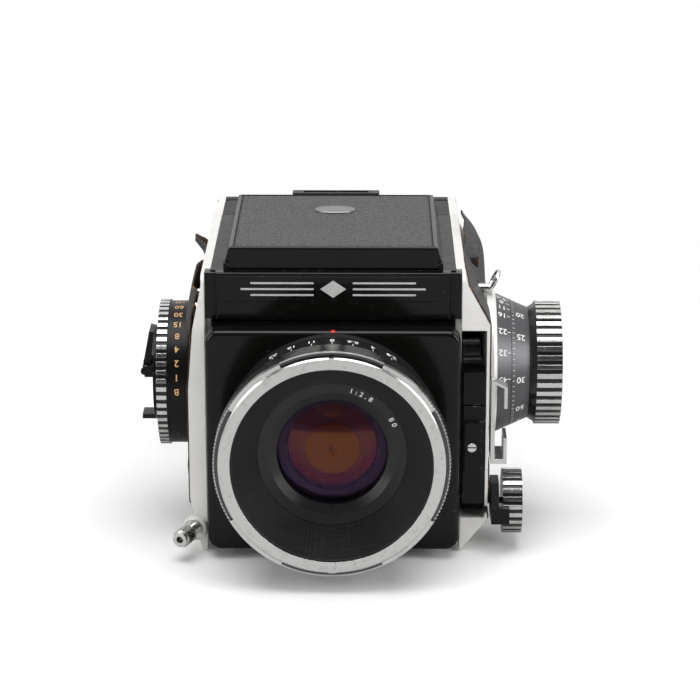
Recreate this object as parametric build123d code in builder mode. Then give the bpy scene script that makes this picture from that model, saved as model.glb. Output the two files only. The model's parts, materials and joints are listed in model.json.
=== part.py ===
"""Medium format single lens reflex camera: bellows focusing, tilting front standard, folding
finder hood and roll film magazine. Millimetres. X to the right seen from the front, +Y towards
the film, +Z up; the origin is the centre of the tripod socket's mouth on the base."""

import os
from math import acos, cos, pi, radians, sin, sqrt, tan

from build123d import *

os.makedirs("parts", exist_ok=True)

# ---- driving dimensions -------------------------------------------------------------------
AXIS_Z = 47.9  # optical axis above the base
TOP_Z = 105.0  # top of the body
FRONT_Y = -45.0  # front flanges of the side casings
JOINT_Y = 41.0  # face where the magazine seats
RUN = 0.05  # radial clearance of a running fit
GAP = 0.1  # gap between pieces that only stand next to each other

# chassis
CHASSIS_X = 43.95
CHASSIS_WALL = 2.9
CHASSIS_FRONT_Y = -35.5
CHASSIS_TOP_Z = 96.8
BASE_TOP_Z = 2.5
GATE_HALF = 28.0  # half the 56 mm picture side

# front standard and lens
STANDARD_X = 45.5
STANDARD_LOW_Z = 3.7
STANDARD_HIGH_Z = 86.7
STANDARD_FRONT_Y = -53.1
STANDARD_REAR_Y = -45.5
STANDARD_PLATE = 3.0
STANDARD_WALL = 2.2
TILT_Y = -47.5
RIM_Y = -86.7
CHROME_FRONT_Y = -84.7
CHROME_REAR_Y = -76.3
CHROME_R = 41.4
BAND_REAR_Y = -63.0
BAND_R = 39.7
BARREL_R = 38.0
RIM_OUT_R = 39.6
RIM_IN_R = 35.4
NAME_RING_Y = -73.9
NAME_RING_R = 26.3
GLASS_R = 19.0

# focusing
KNOB_Y = -12.0
KNOB_Z = 62.5
MODULE = 0.8
PINION_TEETH = 20
PINION_R = MODULE * PINION_TEETH / 2
RACK_Z = KNOB_Z - PINION_R
CONE_BIG_R = 25.8
CONE_SMALL_R = 20.5
KNURL_R = 22.85
FLANGE_X = 59.3
RING_SPLIT_X = 64.7
KNOB_X = 71.3
KNURL_X = 73.9
KNOB_END_X = 83.2

# crank and speed dial
DIAL_Y = -10.0
DIAL_Z = 58.0
DIAL_R = 26.4
DIAL_KNURL_R = 27.0
DIAL_IN_X = -52.95
DIAL_MID_X = -60.7
DIAL_OUT_X = -64.4
CRANK_TEETH = 24
CRANK_GEAR_R = CRANK_TEETH / 2  # module 1

# tilt knob
TILT_KNOB_Y = -35.0
TILT_KNOB_Z = 16.5
TILT_KNOB_R = 11.9

# finder hood
LID_FRONT_Y = -37.7
LID_REAR_Y = 40.0
LID_BOTTOM_Z = 105.2
LID_TOP_Z = 113.5
LID_BOTTOM_X = 39.5
LID_TOP_X = 37.2
LID_PIN_Y = -36.6
LID_PIN_Z = 106.6
SIDE_FLAP = 30.0
REAR_FLAP = 22.0
FLAP_X = 36.5
SIDE_FLAP_Z = 99.6
REAR_FLAP_Y = 36.5
REAR_FLAP_Z = 101.2
LOUPE_REACH = 31.5
LOUPE_Y = LID_PIN_Y + LOUPE_REACH
LOUPE_Z = 107.6

# mirror
MIRROR_Y = 2.8  # where the optical axis meets the mirror
MIRROR_PIN_U = 40.0

# magazine
MAG_X = 47.1
MAG_LOW_Z = 1.0
MAG_SPLIT_Y = 63.5
MAG_REAR_Y = 89.0
MAG_ROUND = 22.0
SPOOL_Y = 66.5
SUPPLY_Z = 26.0
TAKE_UP_Z = 70.0

ALONG_X = (1, 0, 0)
ALONG_Y = (0, 1, 0)
ALONG_Z = (0, 0, 1)


# ---- helpers ------------------------------------------------------------------------------
def finish(piece, name):
    """Labels a finished piece and writes it as its own node."""
    piece.part.label = name
    export_step(piece.part, f"parts/{name}.step")


def block(x, y, z, mode=Mode.ADD):
    """A box given by its low and high coordinate on each axis."""
    middle = [(low + high) / 2 for low, high in (x, y, z)]
    size = [high - low for low, high in (x, y, z)]
    with Locations(tuple(middle)):
        Box(*size, mode=mode)


def rod(start, direction, length, radius, mode=Mode.ADD):
    """A cylinder that starts at a point and runs along a direction."""
    with Locations(Plane(origin=start, z_dir=direction)):
        Cylinder(radius, length, align=(Align.CENTER, Align.CENTER, Align.MIN), mode=mode)


def rod_x(x, y, z, radius, mode=Mode.ADD):
    """A cylinder along X between two x values."""
    rod((x[0], y, z), ALONG_X, x[1] - x[0], radius, mode)


def prism_x(points, x, mode=Mode.ADD):
    """A polygon of (y, z) points, extruded along X."""
    with BuildSketch(Plane.YZ.offset(x[0])) as outline:
        Polygon(*points, align=None)
    extrude(outline.sketch, amount=x[1] - x[0], mode=mode)


def prism_y(points, y, mode=Mode.ADD):
    """A polygon of (x, z) points, extruded along Y."""
    with BuildSketch(Plane.XZ.offset(-y[1])) as outline:
        Polygon(*points, align=None)
    extrude(outline.sketch, amount=y[1] - y[0], mode=mode)


def prism_z(points, z, mode=Mode.ADD):
    """A polygon of (x, y) points, extruded along Z."""
    with BuildSketch(Plane.XY.offset(z[0])) as outline:
        Polygon(*points, align=None)
    extrude(outline.sketch, amount=z[1] - z[0], mode=mode)


def turned_y(points, mode=Mode.ADD):
    """A ring turned about the optical axis from (y, radius) points."""
    with BuildSketch(Plane.YZ) as outline:
        Polygon(*[(y, AXIS_Z + r) for y, r in points], align=None)
    revolve(outline.sketch, axis=Axis((0, 0, AXIS_Z), ALONG_Y), mode=mode)


def turned_x(points, y, z, mode=Mode.ADD):
    """A ring turned about a cross axis from (x, radius) points."""
    with BuildSketch(Plane.XZ.offset(-y)) as outline:
        Polygon(*[(x, z + r) for x, r in points], align=None)
    revolve(outline.sketch, axis=Axis((0, y, z), ALONG_X), mode=mode)


def knurled_x(x, y, z, radius, ridges, depth):
    """A disc across X whose edge has straight ridges."""
    with BuildSketch(Plane(origin=(x[0], y, z), x_dir=ALONG_Y, z_dir=ALONG_X)) as outline:
        Circle(radius)
        with PolarLocations(radius, ridges):
            Rectangle(2 * depth, pi * radius / ridges, mode=Mode.SUBTRACT)
    extrude(outline.sketch, amount=x[1] - x[0])


def square_ring(half, thickness, y):
    """A square tube about the optical axis: half the outer side, wall and y span."""
    block((-half, half), y, (AXIS_Z - half, AXIS_Z + half))
    inner = half - thickness
    block((-inner, inner), y, (AXIS_Z - inner, AXIS_Z + inner), Mode.SUBTRACT)


def gear_points(teeth, module, backlash):
    """Involute outline about (0, 0) with the middle of a tooth on the first axis."""
    pressure = radians(20)
    pitch_r = teeth * module / 2
    base_r = pitch_r * cos(pressure)
    tip_r = pitch_r + 0.95 * module
    root_r = pitch_r - 1.25 * module
    half_tooth = pi / (2 * teeth) - backlash / (2 * pitch_r) + tan(pressure) - pressure
    flank = []
    start_r = max(base_r, root_r)
    for step in range(5):
        r = start_r + (tip_r - start_r) * step / 4
        angle = acos(base_r / r)
        flank.append((r, half_tooth - (tan(angle) - angle)))
    flank.insert(0, (root_r, half_tooth))
    points = []
    for tooth in range(teeth):
        middle = 2 * pi * tooth / teeth
        points += [(r * cos(middle - a), r * sin(middle - a)) for r, a in flank]
        points += [(r * cos(middle + a), r * sin(middle + a)) for r, a in reversed(flank)]
    return points


def gear_x(x, y, z, teeth, module, turn=0.0, backlash=0.08):
    """A spur gear across X; turn swings the first tooth from +Y towards +Z."""
    plane = Plane(origin=(x[0], y, z), x_dir=ALONG_Y, z_dir=ALONG_X)
    with BuildSketch(plane) as outline:
        with Locations(Location((0, 0), turn)):
            Polygon(*gear_points(teeth, module, backlash), align=None)
    extrude(outline.sketch, amount=x[1] - x[0])


# ---- chassis and base ---------------------------------------------------------------------
INNER_X = CHASSIS_X - CHASSIS_WALL
MOUTH_HALF = 32.8
MOUTH_Y = (-26.0, -23.5)
REAR_WALL_Y = 39.0
SOCKET_R = 4.76  # 3/8 inch tripod thread
BUSH_R = 8.0
MIRROR_PIN_Y = MIRROR_Y + (MIRROR_PIN_U + 2) / sqrt(2)
MIRROR_PIN_Z = AXIS_Z + (MIRROR_PIN_U - 2) / sqrt(2)
MIRROR_PIN_R = 1.0
SCREEN_Z = 94.9
SCREEN_Y = (MIRROR_Y - 30.5, MIRROR_Y + 30.5)
BASE_SCREWS = [(x, y) for x in (-36, 36) for y in (-30, 32)]

with BuildPart() as chassis:
    block((-CHASSIS_X, CHASSIS_X), (CHASSIS_FRONT_Y, JOINT_Y), (BASE_TOP_Z + 0.05, CHASSIS_TOP_Z))
    block((-INNER_X, INNER_X), (CHASSIS_FRONT_Y, REAR_WALL_Y), (5.2, CHASSIS_TOP_Z), Mode.SUBTRACT)
    block((-INNER_X, INNER_X), MOUTH_Y, (5.2, 92.3))
    window = (AXIS_Z - MOUTH_HALF, AXIS_Z + MOUTH_HALF)
    block((-MOUTH_HALF, MOUTH_HALF), MOUTH_Y, window, Mode.SUBTRACT)
    gate = GATE_HALF + 1
    block((-gate, gate), (REAR_WALL_Y, JOINT_Y), (AXIS_Z - gate, AXIS_Z + gate), Mode.SUBTRACT)
    block((-INNER_X, INNER_X), (-35.0, REAR_WALL_Y), (92.3, CHASSIS_TOP_Z))
    block((-27.5, 27.5), (MIRROR_Y - 27.5, MIRROR_Y + 27.5), (92, 97), Mode.SUBTRACT)
    pocket = (SCREEN_Y[0] - GAP, SCREEN_Y[1] + GAP)
    block((-30.6, 30.6), pocket, (SCREEN_Z, 97), Mode.SUBTRACT)
    block((-INNER_X, INNER_X), (35.2, 37.0), (16, 80))
    block((-gate, gate), (35, 38), (AXIS_Z - gate, AXIS_Z + gate), Mode.SUBTRACT)
    rod((0, 0, BASE_TOP_Z), ALONG_Z, 4, BUSH_R + GAP, Mode.SUBTRACT)
    pin_span = (-CHASSIS_X, CHASSIS_X)
    rod_x(pin_span, MIRROR_PIN_Y, MIRROR_PIN_Z, MIRROR_PIN_R + 0.02, Mode.SUBTRACT)
    for x, y in BASE_SCREWS:
        rod((x, y, BASE_TOP_Z), ALONG_Z, 4, 1.05, Mode.SUBTRACT)
finish(chassis, "chassis")

with BuildPart() as base_plate:
    block((-CHASSIS_X, CHASSIS_X), (-40.0, JOINT_Y), (0, BASE_TOP_Z))
    fillet(base_plate.edges().filter_by(Axis.Z), 2)
    rod((0, 0, 0), ALONG_Z, BASE_TOP_Z, BUSH_R + 0.02, Mode.SUBTRACT)
    for x, y in BASE_SCREWS:
        rod((x, y, 0), ALONG_Z, BASE_TOP_Z, 1.05, Mode.SUBTRACT)
        rod((x, y, 0), ALONG_Z, 1.2, 2.1, Mode.SUBTRACT)
finish(base_plate, "base_plate")

with BuildPart() as tripod_bush:
    rod((0, 0, 0), ALONG_Z, 5.1, BUSH_R)
    rod((0, 0, 0), ALONG_Z, 4.5, SOCKET_R, Mode.SUBTRACT)
finish(tripod_bush, "tripod_bush")

with BuildPart() as base_screws:
    for x, y in BASE_SCREWS:
        rod((x, y, 0.2), ALONG_Z, 0.95, 2.0)
        rod((x, y, 0.2), ALONG_Z, 4.8, 1.0)
        block((x - 1.5, x + 1.5), (y - 0.25, y + 0.25), (0.2, 0.6), Mode.SUBTRACT)
finish(base_screws, "base_screws")

# ---- side casings -------------------------------------------------------------------------
RIGHT_X = 56.1
SHAFT_R = 3.0
CRANK_SHAFT_R = 2.5
DIAL_BORE_R = 8.0
DIAL_SEAT_R = 25.0
KNOB_FLANGE_R = 27.5
LUG_Y = -15.0
LUG_R = 1.7
RIGHT_LUG_Z = 92.0
LEFT_LUG_Z = 90.0
LUG_TIP_X = 57.8
SLOT_X = (46.3, 55.0)
SLOT_Z = (13.3, 84.6)
RAIL_R = 2.0
RAIL_X = 50.8
RAIL_Z = (22.0, 47.5)
RAIL_Y = (-39.0, 40.6)
TOP_ROUND = 3.5
LEFT_X = -52.2
FLANGE_IN_X = 46.0
RELEASE_ANGLE = 22.0
RELEASE_BASE = (-50.6, FRONT_Y, 9.0)
RELEASE_AXIS = (-sin(radians(RELEASE_ANGLE)), -cos(radians(RELEASE_ANGLE)), 0)

right_profile = [
    (44.0, 0.0),
    (45.7, 0.0),
    (RIGHT_X, 12.7),
    (RIGHT_X, 86.5),
    (47.2, 102.8),
    (47.2, TOP_Z),
    (44.0, TOP_Z),
]
left_profile = [
    (-44.0, 0.0),
    (-47.6, 0.8),
    (-50.4, 8.0),
    (LEFT_X, 21.0),
    (LEFT_X, 62.0),
    (-50.4, 84.7),
    (-47.1, 101.0),
    (-47.1, TOP_Z),
    (-44.0, TOP_Z),
]


def on_release_axis(distance):
    """A point on the release axis, measured outwards from the front flange."""
    return tuple(p + distance * a for p, a in zip(RELEASE_BASE, RELEASE_AXIS))


def open_front(side):
    """Clears the inner edge of a casing's front flange, where the standard stands."""
    span = sorted((side * 40.0, side * FLANGE_IN_X))
    block(span, (FRONT_Y, CHASSIS_FRONT_Y), (0, TOP_Z), Mode.SUBTRACT)


with BuildPart() as right_casing:
    prism_y(right_profile, (FRONT_Y, JOINT_Y))
    top_front = right_casing.edges().filter_by(Axis.X).group_by(Axis.Y)[0].sort_by(Axis.Z)[-1]
    fillet(top_front, TOP_ROUND)
    block(SLOT_X, (FRONT_Y, 39.9), SLOT_Z, Mode.SUBTRACT)
    open_front(1)
    block((FLANGE_IN_X - 1, SLOT_X[0]), (FRONT_Y, CHASSIS_FRONT_Y), SLOT_Z, Mode.SUBTRACT)
    notch_z = (TILT_KNOB_Z - 1.5, TILT_KNOB_Z + 1.5)
    block((SLOT_X[1], RIGHT_X), (FRONT_Y, TILT_KNOB_Y + 1.5), notch_z, Mode.SUBTRACT)
    rod_x((SLOT_X[1], RIGHT_X), KNOB_Y, KNOB_Z, 3 + RUN, Mode.SUBTRACT)
    for z in RAIL_Z:
        rod((RAIL_X, 39, z), ALONG_Y, 2, RAIL_R + 0.02, Mode.SUBTRACT)
    flange = [(RIGHT_X - 0.1, SHAFT_R + RUN), (RIGHT_X - 0.1, KNOB_FLANGE_R)]
    flange += [(FLANGE_X - 1.2, KNOB_FLANGE_R), (FLANGE_X - 0.05, KNOB_FLANGE_R - 0.9)]
    flange += [(FLANGE_X - 0.05, SHAFT_R + RUN)]
    turned_x(flange, KNOB_Y, KNOB_Z)
    rod_x((50, 60), LUG_Y, RIGHT_LUG_Z, LUG_R + 0.02, Mode.SUBTRACT)
finish(right_casing, "right_casing")

with BuildPart() as left_casing:
    prism_y(left_profile, (FRONT_Y, JOINT_Y))
    top_front = left_casing.edges().filter_by(Axis.X).group_by(Axis.Y)[0].sort_by(Axis.Z)[-1]
    fillet(top_front, TOP_ROUND)
    rod(on_release_axis(-9), RELEASE_AXIS, 9.5, 4.6)
    block((LEFT_X + 1.4, -44), (-34, 38), (14, 84), Mode.SUBTRACT)
    open_front(-1)
    rod(on_release_axis(-7), RELEASE_AXIS, 12, 2.9, Mode.SUBTRACT)
    seat = [(LEFT_X + 0.1, CRANK_SHAFT_R + RUN), (LEFT_X + 0.1, DIAL_SEAT_R)]
    seat += [(DIAL_IN_X + 0.15, DIAL_SEAT_R), (DIAL_IN_X + 0.15, DIAL_BORE_R)]
    seat += [(DIAL_OUT_X + 1.0, DIAL_BORE_R), (DIAL_OUT_X + 1.0, CRANK_SHAFT_R + RUN)]
    turned_x(seat, DIAL_Y, DIAL_Z)
    rod_x((LEFT_X - 1, -44), DIAL_Y, DIAL_Z, CRANK_SHAFT_R + RUN, Mode.SUBTRACT)
    rod_x((-60, -47), LUG_Y, LEFT_LUG_Z, LUG_R + 0.02, Mode.SUBTRACT)
    rod_x((LEFT_X, -45), DIAL_Y + 2 * CRANK_GEAR_R, DIAL_Z, 2.0)
finish(left_casing, "left_casing")

with BuildPart() as carriage_rails:
    for z in RAIL_Z:
        rod((RAIL_X, RAIL_Y[0], z), ALONG_Y, RAIL_Y[1] - RAIL_Y[0], RAIL_R)
finish(carriage_rails, "carriage_rails")

# ---- side leatherette ---------------------------------------------------------------------
SHEET = 0.6
SHEET_Y = (-43.6, 39.6)

with BuildPart() as side_leather:
    face = [(-50.95, 9.5), (LEFT_X, 21.0), (LEFT_X, 62.0), (-50.4, 84.7), (-47.6, 98.5)]
    outer = [(x - 0.05 - SHEET, z) for x, z in face]
    inner = [(x - 0.05, z) for x, z in reversed(face)]
    prism_y(outer + inner, SHEET_Y)
    rod_x((LEFT_X - 2, -46), DIAL_Y, DIAL_Z, DIAL_SEAT_R + 0.3, Mode.SUBTRACT)
    rod(on_release_axis(-12), RELEASE_AXIS, 20, 5.2, Mode.SUBTRACT)
    rod_x((-60, -46), LUG_Y, LEFT_LUG_Z, LUG_R + 0.3, Mode.SUBTRACT)
    face = [(55.0, 11.36), (RIGHT_X, 12.7), (RIGHT_X, 86.5), (49.0, 99.5)]
    outer = [(x + 0.07 + SHEET, z) for x, z in face]
    inner = [(x + 0.07, z) for x, z in reversed(face)]
    prism_y(outer + inner, SHEET_Y)
    rod_x((46, 60), KNOB_Y, KNOB_Z, KNOB_FLANGE_R + 0.3, Mode.SUBTRACT)
    block((54, 60), (-45, -29), (33.7, 66.3), Mode.SUBTRACT)
    block((54, 60), (-45, TILT_KNOB_Y + 3), (TILT_KNOB_Z - 3, TILT_KNOB_Z + 3), Mode.SUBTRACT)
    rod_x((46, 60), LUG_Y, RIGHT_LUG_Z, LUG_R + 0.3, Mode.SUBTRACT)
finish(side_leather, "side_leather")

# ---- fascia, finder well and focusing screen ------------------------------------------------
FASCIA_X = 42.0
FASCIA_FRONT_Y = -41.6
FASCIA_REAR_Y = -38.0
FASCIA_LOW_Z = 87.6
BAND_Z = (94.6, 103.6)
HOOD_WELL_X = 38.0
HOOD_WELL_Z = 98.2

with BuildPart() as front_fascia:
    block((-FASCIA_X, FASCIA_X), (FASCIA_FRONT_Y, FASCIA_REAR_Y), (FASCIA_LOW_Z, TOP_Z))
    front_edges = front_fascia.edges().group_by(Axis.Y)[0]
    fillet(front_edges, 0.8)
    block((-45.9, 45.9), (-40.2, FASCIA_REAR_Y), (FASCIA_LOW_Z, TOP_Z - 0.4))
    block((-39.5, 39.5), (FASCIA_FRONT_Y - 0.25, FASCIA_FRONT_Y + 0.5), BAND_Z)
finish(front_fascia, "front_fascia")

with BuildPart() as hood_frame:
    block((-CHASSIS_X, CHASSIS_X), (-37.9, 40.9), (CHASSIS_TOP_Z + 0.05, TOP_Z))
    well_x = (-HOOD_WELL_X, HOOD_WELL_X)
    block(well_x, (-37.1, 39.4), (HOOD_WELL_Z, TOP_Z), Mode.SUBTRACT)
    light = (MIRROR_Y - GATE_HALF, MIRROR_Y + GATE_HALF)
    block((-GATE_HALF, GATE_HALF), light, (CHASSIS_TOP_Z, HOOD_WELL_Z), Mode.SUBTRACT)
    for side in (-1, 1):
        ear_x = sorted((side * 37.8, side * 39.3))
        block(ear_x, (-37.9, -35.4), (TOP_Z - 1, LID_PIN_Z))
        rod_x(ear_x, LID_PIN_Y, LID_PIN_Z, 1.3)
        rod_x(ear_x, LID_PIN_Y, LID_PIN_Z, 0.72, Mode.SUBTRACT)
        for y in (-31.5, 32.0):
            block(sorted((side * 35.75, side * 38.1)), (y, y + 1.6), (HOOD_WELL_Z - 0.1, 100.8))
            rod((side * FLAP_X, y, SIDE_FLAP_Z), ALONG_Y, 1.6, 0.42, Mode.SUBTRACT)
        rear_ear = sorted((side * 33.0, side * 34.4))
        block(rear_ear, (REAR_FLAP_Y - 1, 39.5), (HOOD_WELL_Z - 0.1, 102.4))
        rod_x(rear_ear, REAR_FLAP_Y, REAR_FLAP_Z, 0.42, Mode.SUBTRACT)
finish(hood_frame, "hood_frame")

with BuildPart() as focusing_screen:
    block((-30.5, 30.5), SCREEN_Y, (SCREEN_Z + 0.02, SCREEN_Z + 1.7))
finish(focusing_screen, "focusing_screen")

# ---- finder hood --------------------------------------------------------------------------
LID_WALL = 1.3
INLAY_X = 35.9
INLAY_DEPTH = 0.5
FLAP_PIN_R = 0.4
FLAP_HEM = 1.7  # round edge that carries a side flap's pin
FLAP_PIN_Y = -29.6
FLAP_PIN_LENGTH = 61.4
FLAP_HALF = 0.5
REAR_FLAP_HALF = 0.4


def lid_outline(inset, low, high):
    """The lid's cross-section, tapered towards the top."""
    slope = (LID_BOTTOM_X - LID_TOP_X) / (LID_TOP_Z - LID_BOTTOM_Z)
    low_x = LID_BOTTOM_X - inset - slope * (low - LID_BOTTOM_Z)
    high_x = LID_BOTTOM_X - inset - slope * (high - LID_BOTTOM_Z)
    return [(-low_x, low), (low_x, low), (high_x, high), (-high_x, high)]


with BuildPart() as hood_lid:
    prism_y(lid_outline(0, LID_BOTTOM_Z, LID_TOP_Z), (LID_FRONT_Y, LID_REAR_Y))
    fillet(hood_lid.edges().group_by(Axis.Z)[-1], 1.0)
    hollow = (LID_FRONT_Y + 1.9, LID_REAR_Y - LID_WALL)
    prism_y(lid_outline(LID_WALL, LID_BOTTOM_Z, LID_TOP_Z - 1.6), hollow, Mode.SUBTRACT)
    inlay_y = (LID_FRONT_Y + 1.4, LID_REAR_Y - 1.4)
    block((-INLAY_X, INLAY_X), inlay_y, (LID_TOP_Z - INLAY_DEPTH, LID_TOP_Z), Mode.SUBTRACT)
    swing_room = (LID_BOTTOM_Z, LID_BOTTOM_Z + 0.3)
    block((-40, 40), (LID_FRONT_Y, LID_FRONT_Y + 2), swing_room, Mode.SUBTRACT)
    for side in (-1, 1):
        corner = sorted((side * 37.6, side * 40.0))
        block(corner, (LID_FRONT_Y, -34.9), (LID_BOTTOM_Z, LID_PIN_Z + 1.7), Mode.SUBTRACT)
        rod_x(sorted((side * 34.5, side * 37.6)), LID_PIN_Y, LID_PIN_Z, 1.0)
        rod_x(sorted((side * 35.0, side * 37.6)), LID_PIN_Y, LID_PIN_Z, 0.75, Mode.SUBTRACT)
        ear = sorted((side * 20.0, side * 21.4))
        block(ear, (LOUPE_Y - 1.6, LOUPE_Y + 1.6), (LOUPE_Z - 1.3, LID_TOP_Z - 1.2))
    rod_x((-20.5, 20.5), LOUPE_Y, LOUPE_Z, 0.5)
finish(hood_lid, "hood_lid")

with BuildPart() as lid_leather:
    inlay_z = (LID_TOP_Z - INLAY_DEPTH + 0.02, LID_TOP_Z + 0.05)
    block((-INLAY_X + GAP, INLAY_X - GAP), (inlay_y[0] + GAP, inlay_y[1] - GAP), inlay_z)
finish(lid_leather, "lid_leather")

with BuildPart() as hood_catch:
    block((-16.7, 16.7), (LID_REAR_Y + 0.1, LID_REAR_Y + 5.2), (106.2, LID_TOP_Z + 0.3))
    fillet(hood_catch.edges().filter_by(Axis.Z), 0.8)
    slot_y = (LID_REAR_Y + 1.6, LID_REAR_Y + 3.9)
    block((-12.4, 12.4), slot_y, (110.0, LID_TOP_Z + 0.5), Mode.SUBTRACT)
finish(hood_catch, "hood_catch")


def side_flap(side):
    """One side wall of the hood, folded flat; its ends are cut so that it clears the
    lid and the rear wall while all of them swing together."""
    front = LID_PIN_Y
    rear = REAR_FLAP_Y
    shape = [
        (FLAP_HEM, front + FLAP_HEM + 0.6),
        (SIDE_FLAP - 1, front + SIDE_FLAP + 0.2),
        (SIDE_FLAP - 1, rear - REAR_FLAP - 2.0),
        (REAR_FLAP - 1.0, rear - REAR_FLAP - 0.4),
        (FLAP_HEM, rear - FLAP_HEM - 0.6),
    ]
    points = [(side * (FLAP_X - reach), y) for reach, y in shape]
    flap_z = (SIDE_FLAP_Z - FLAP_HALF, SIDE_FLAP_Z + FLAP_HALF)
    prism_z(points, flap_z)
    start = (side * FLAP_X, FLAP_PIN_Y, SIDE_FLAP_Z)
    rod(start, ALONG_Y, FLAP_PIN_LENGTH, 0.9)
    hem_x = sorted((side * FLAP_X, side * (FLAP_X - FLAP_HEM - 0.2)))
    block(hem_x, (FLAP_PIN_Y, FLAP_PIN_Y + FLAP_PIN_LENGTH), flap_z)
    rod(start, ALONG_Y, FLAP_PIN_LENGTH, FLAP_PIN_R + RUN, Mode.SUBTRACT)


with BuildPart() as left_flap:
    side_flap(-1)
finish(left_flap, "left_flap")

with BuildPart() as right_flap:
    side_flap(1)
finish(right_flap, "right_flap")

with BuildPart() as rear_flap:
    flap_z = (REAR_FLAP_Z - REAR_FLAP_HALF, REAR_FLAP_Z + REAR_FLAP_HALF)
    block((-32.4, 32.4), (REAR_FLAP_Y - REAR_FLAP, REAR_FLAP_Y), flap_z)
    rod_x((-32.7, 32.7), REAR_FLAP_Y, REAR_FLAP_Z, 0.9)
    rod_x((-32.7, 32.7), REAR_FLAP_Y, REAR_FLAP_Z, FLAP_PIN_R + RUN, Mode.SUBTRACT)
finish(rear_flap, "rear_flap")

LOUPE_LENS_Y = LOUPE_Y + 28  # centre of the magnifier on its plate

with BuildPart() as loupe_plate:
    block((-18, 18), (LOUPE_Y, LOUPE_Y + 43), (LOUPE_Z - 0.6, LOUPE_Z + 0.6))
    fillet(loupe_plate.edges().filter_by(Axis.Z).group_by(Axis.Y)[-1], 6)
    rod_x((-19.8, 19.8), LOUPE_Y, LOUPE_Z, 1.2)
    rod_x((-19.8, 19.8), LOUPE_Y, LOUPE_Z, 0.55, Mode.SUBTRACT)
    rod((0, LOUPE_LENS_Y, LOUPE_Z - 1.6), ALONG_Z, 3.4, 14.2)
    rod((0, LOUPE_LENS_Y, LOUPE_Z - 2), ALONG_Z, 5, 12.6, Mode.SUBTRACT)
finish(loupe_plate, "loupe_plate")

with BuildPart() as loupe_lens:
    rod((0, LOUPE_LENS_Y, LOUPE_Z - 1.5), ALONG_Z, 3.0, 12.5)
    fillet(loupe_lens.edges(), 1.2)
finish(loupe_lens, "loupe_lens")

# ---- mirror and shutter -------------------------------------------------------------------
mirror_plane = Plane(
    origin=(0, MIRROR_Y, AXIS_Z), x_dir=ALONG_X, z_dir=(0, -1 / sqrt(2), 1 / sqrt(2))
)

with BuildPart() as mirror_frame:
    with BuildSketch(mirror_plane.offset(-3.8)) as plate:
        with Locations((0, 6.0)):
            RectangleRounded(61, 68, 3)
    extrude(plate.sketch, amount=1.75)
    rod_x((-30.5, 30.5), MIRROR_PIN_Y, MIRROR_PIN_Z, 1.7)
    rod_x((-31, 31), MIRROR_PIN_Y, MIRROR_PIN_Z, MIRROR_PIN_R + RUN, Mode.SUBTRACT)
finish(mirror_frame, "mirror_frame")

with BuildPart() as mirror_glass:
    with BuildSketch(mirror_plane.offset(-2.0)) as plate:
        with Locations((0, 4.5)):
            RectangleRounded(58, 63, 2)
    extrude(plate.sketch, amount=2.0)
finish(mirror_glass, "mirror_glass")

with BuildPart() as shutter_curtains:
    block((-33, 33), (37.3, 37.6), (15, AXIS_Z + 0.7))
    block((-33, 33), (37.9, 38.2), (AXIS_Z - 2.5, 81))
finish(shutter_curtains, "shutter_curtains")

with BuildPart() as curtain_rollers:
    for z in (83.4, 88.0, 12.0, 7.6):
        rod_x((-38, 38), 36.9, z, 1.9)
finish(curtain_rollers, "curtain_rollers")

# ---- bellows and carriage -----------------------------------------------------------------
FRAME_Y = (-39.3, -36.4)
FRAME_X = 43.3
BELLOWS_HALF = 38.5
BELLOWS_WALL = 5.0
FOLDS = 5
FRAME_WINDOW = 32.6
EAR_X = (41.0, 43.2)
EAR_R = 2.4
PIVOT_R = 1.2
ARM_X = (46.9, 54.6)
TILT_SHAFT_R = 1.2
SCREW_X = 50.0
SCREW_Z = 41.5

with BuildPart() as bellows:
    rear, front = MOUTH_Y[0] - 0.1, FRAME_Y[1] + 0.1
    square_ring(BELLOWS_HALF, BELLOWS_WALL, (front, rear))
    fold = (rear - front) / FOLDS
    for number in range(FOLDS):
        middle = front + fold * (number + 0.5)
        lip = BELLOWS_HALF + 1
        mouth = 0.35 * fold
        groove = [(lip, middle - mouth), (BELLOWS_HALF - 3.4, middle), (lip, middle + mouth)]
        for turn in range(4):
            with BuildSketch(Plane.XY.offset(AXIS_Z - lip)) as vee:
                Polygon(*groove, align=None)
            cutter = extrude(vee.sketch, amount=2 * lip, mode=Mode.PRIVATE)
            add(cutter.rotate(Axis((0, 0, AXIS_Z), ALONG_Y), 90 * turn), mode=Mode.SUBTRACT)
finish(bellows, "bellows")

with BuildPart() as bellows_front_fold:
    square_ring(36.0, 3.2, (-50.0, FRAME_Y[0] - 0.1))
finish(bellows_front_fold, "bellows_front_fold")

with BuildPart() as carriage_frame:
    block((-FRAME_X, FRAME_X), FRAME_Y, (9.0, 86.0))
    window = (AXIS_Z - FRAME_WINDOW, AXIS_Z + FRAME_WINDOW)
    block((-FRAME_WINDOW, FRAME_WINDOW), FRAME_Y, window, Mode.SUBTRACT)
    block((FRAME_X - 1, ARM_X[0] - 0.02), FRAME_Y, (20, 68))
    for side in (-1, 1):
        ear = sorted((side * EAR_X[0], side * EAR_X[1]))
        block(ear, (TILT_Y, FRAME_Y[0]), (AXIS_Z - EAR_R, AXIS_Z + EAR_R))
        rod_x(ear, TILT_Y, AXIS_Z, EAR_R)
        rod_x(ear, TILT_Y, AXIS_Z, PIVOT_R + RUN, Mode.SUBTRACT)
finish(carriage_frame, "carriage_frame")

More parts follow.
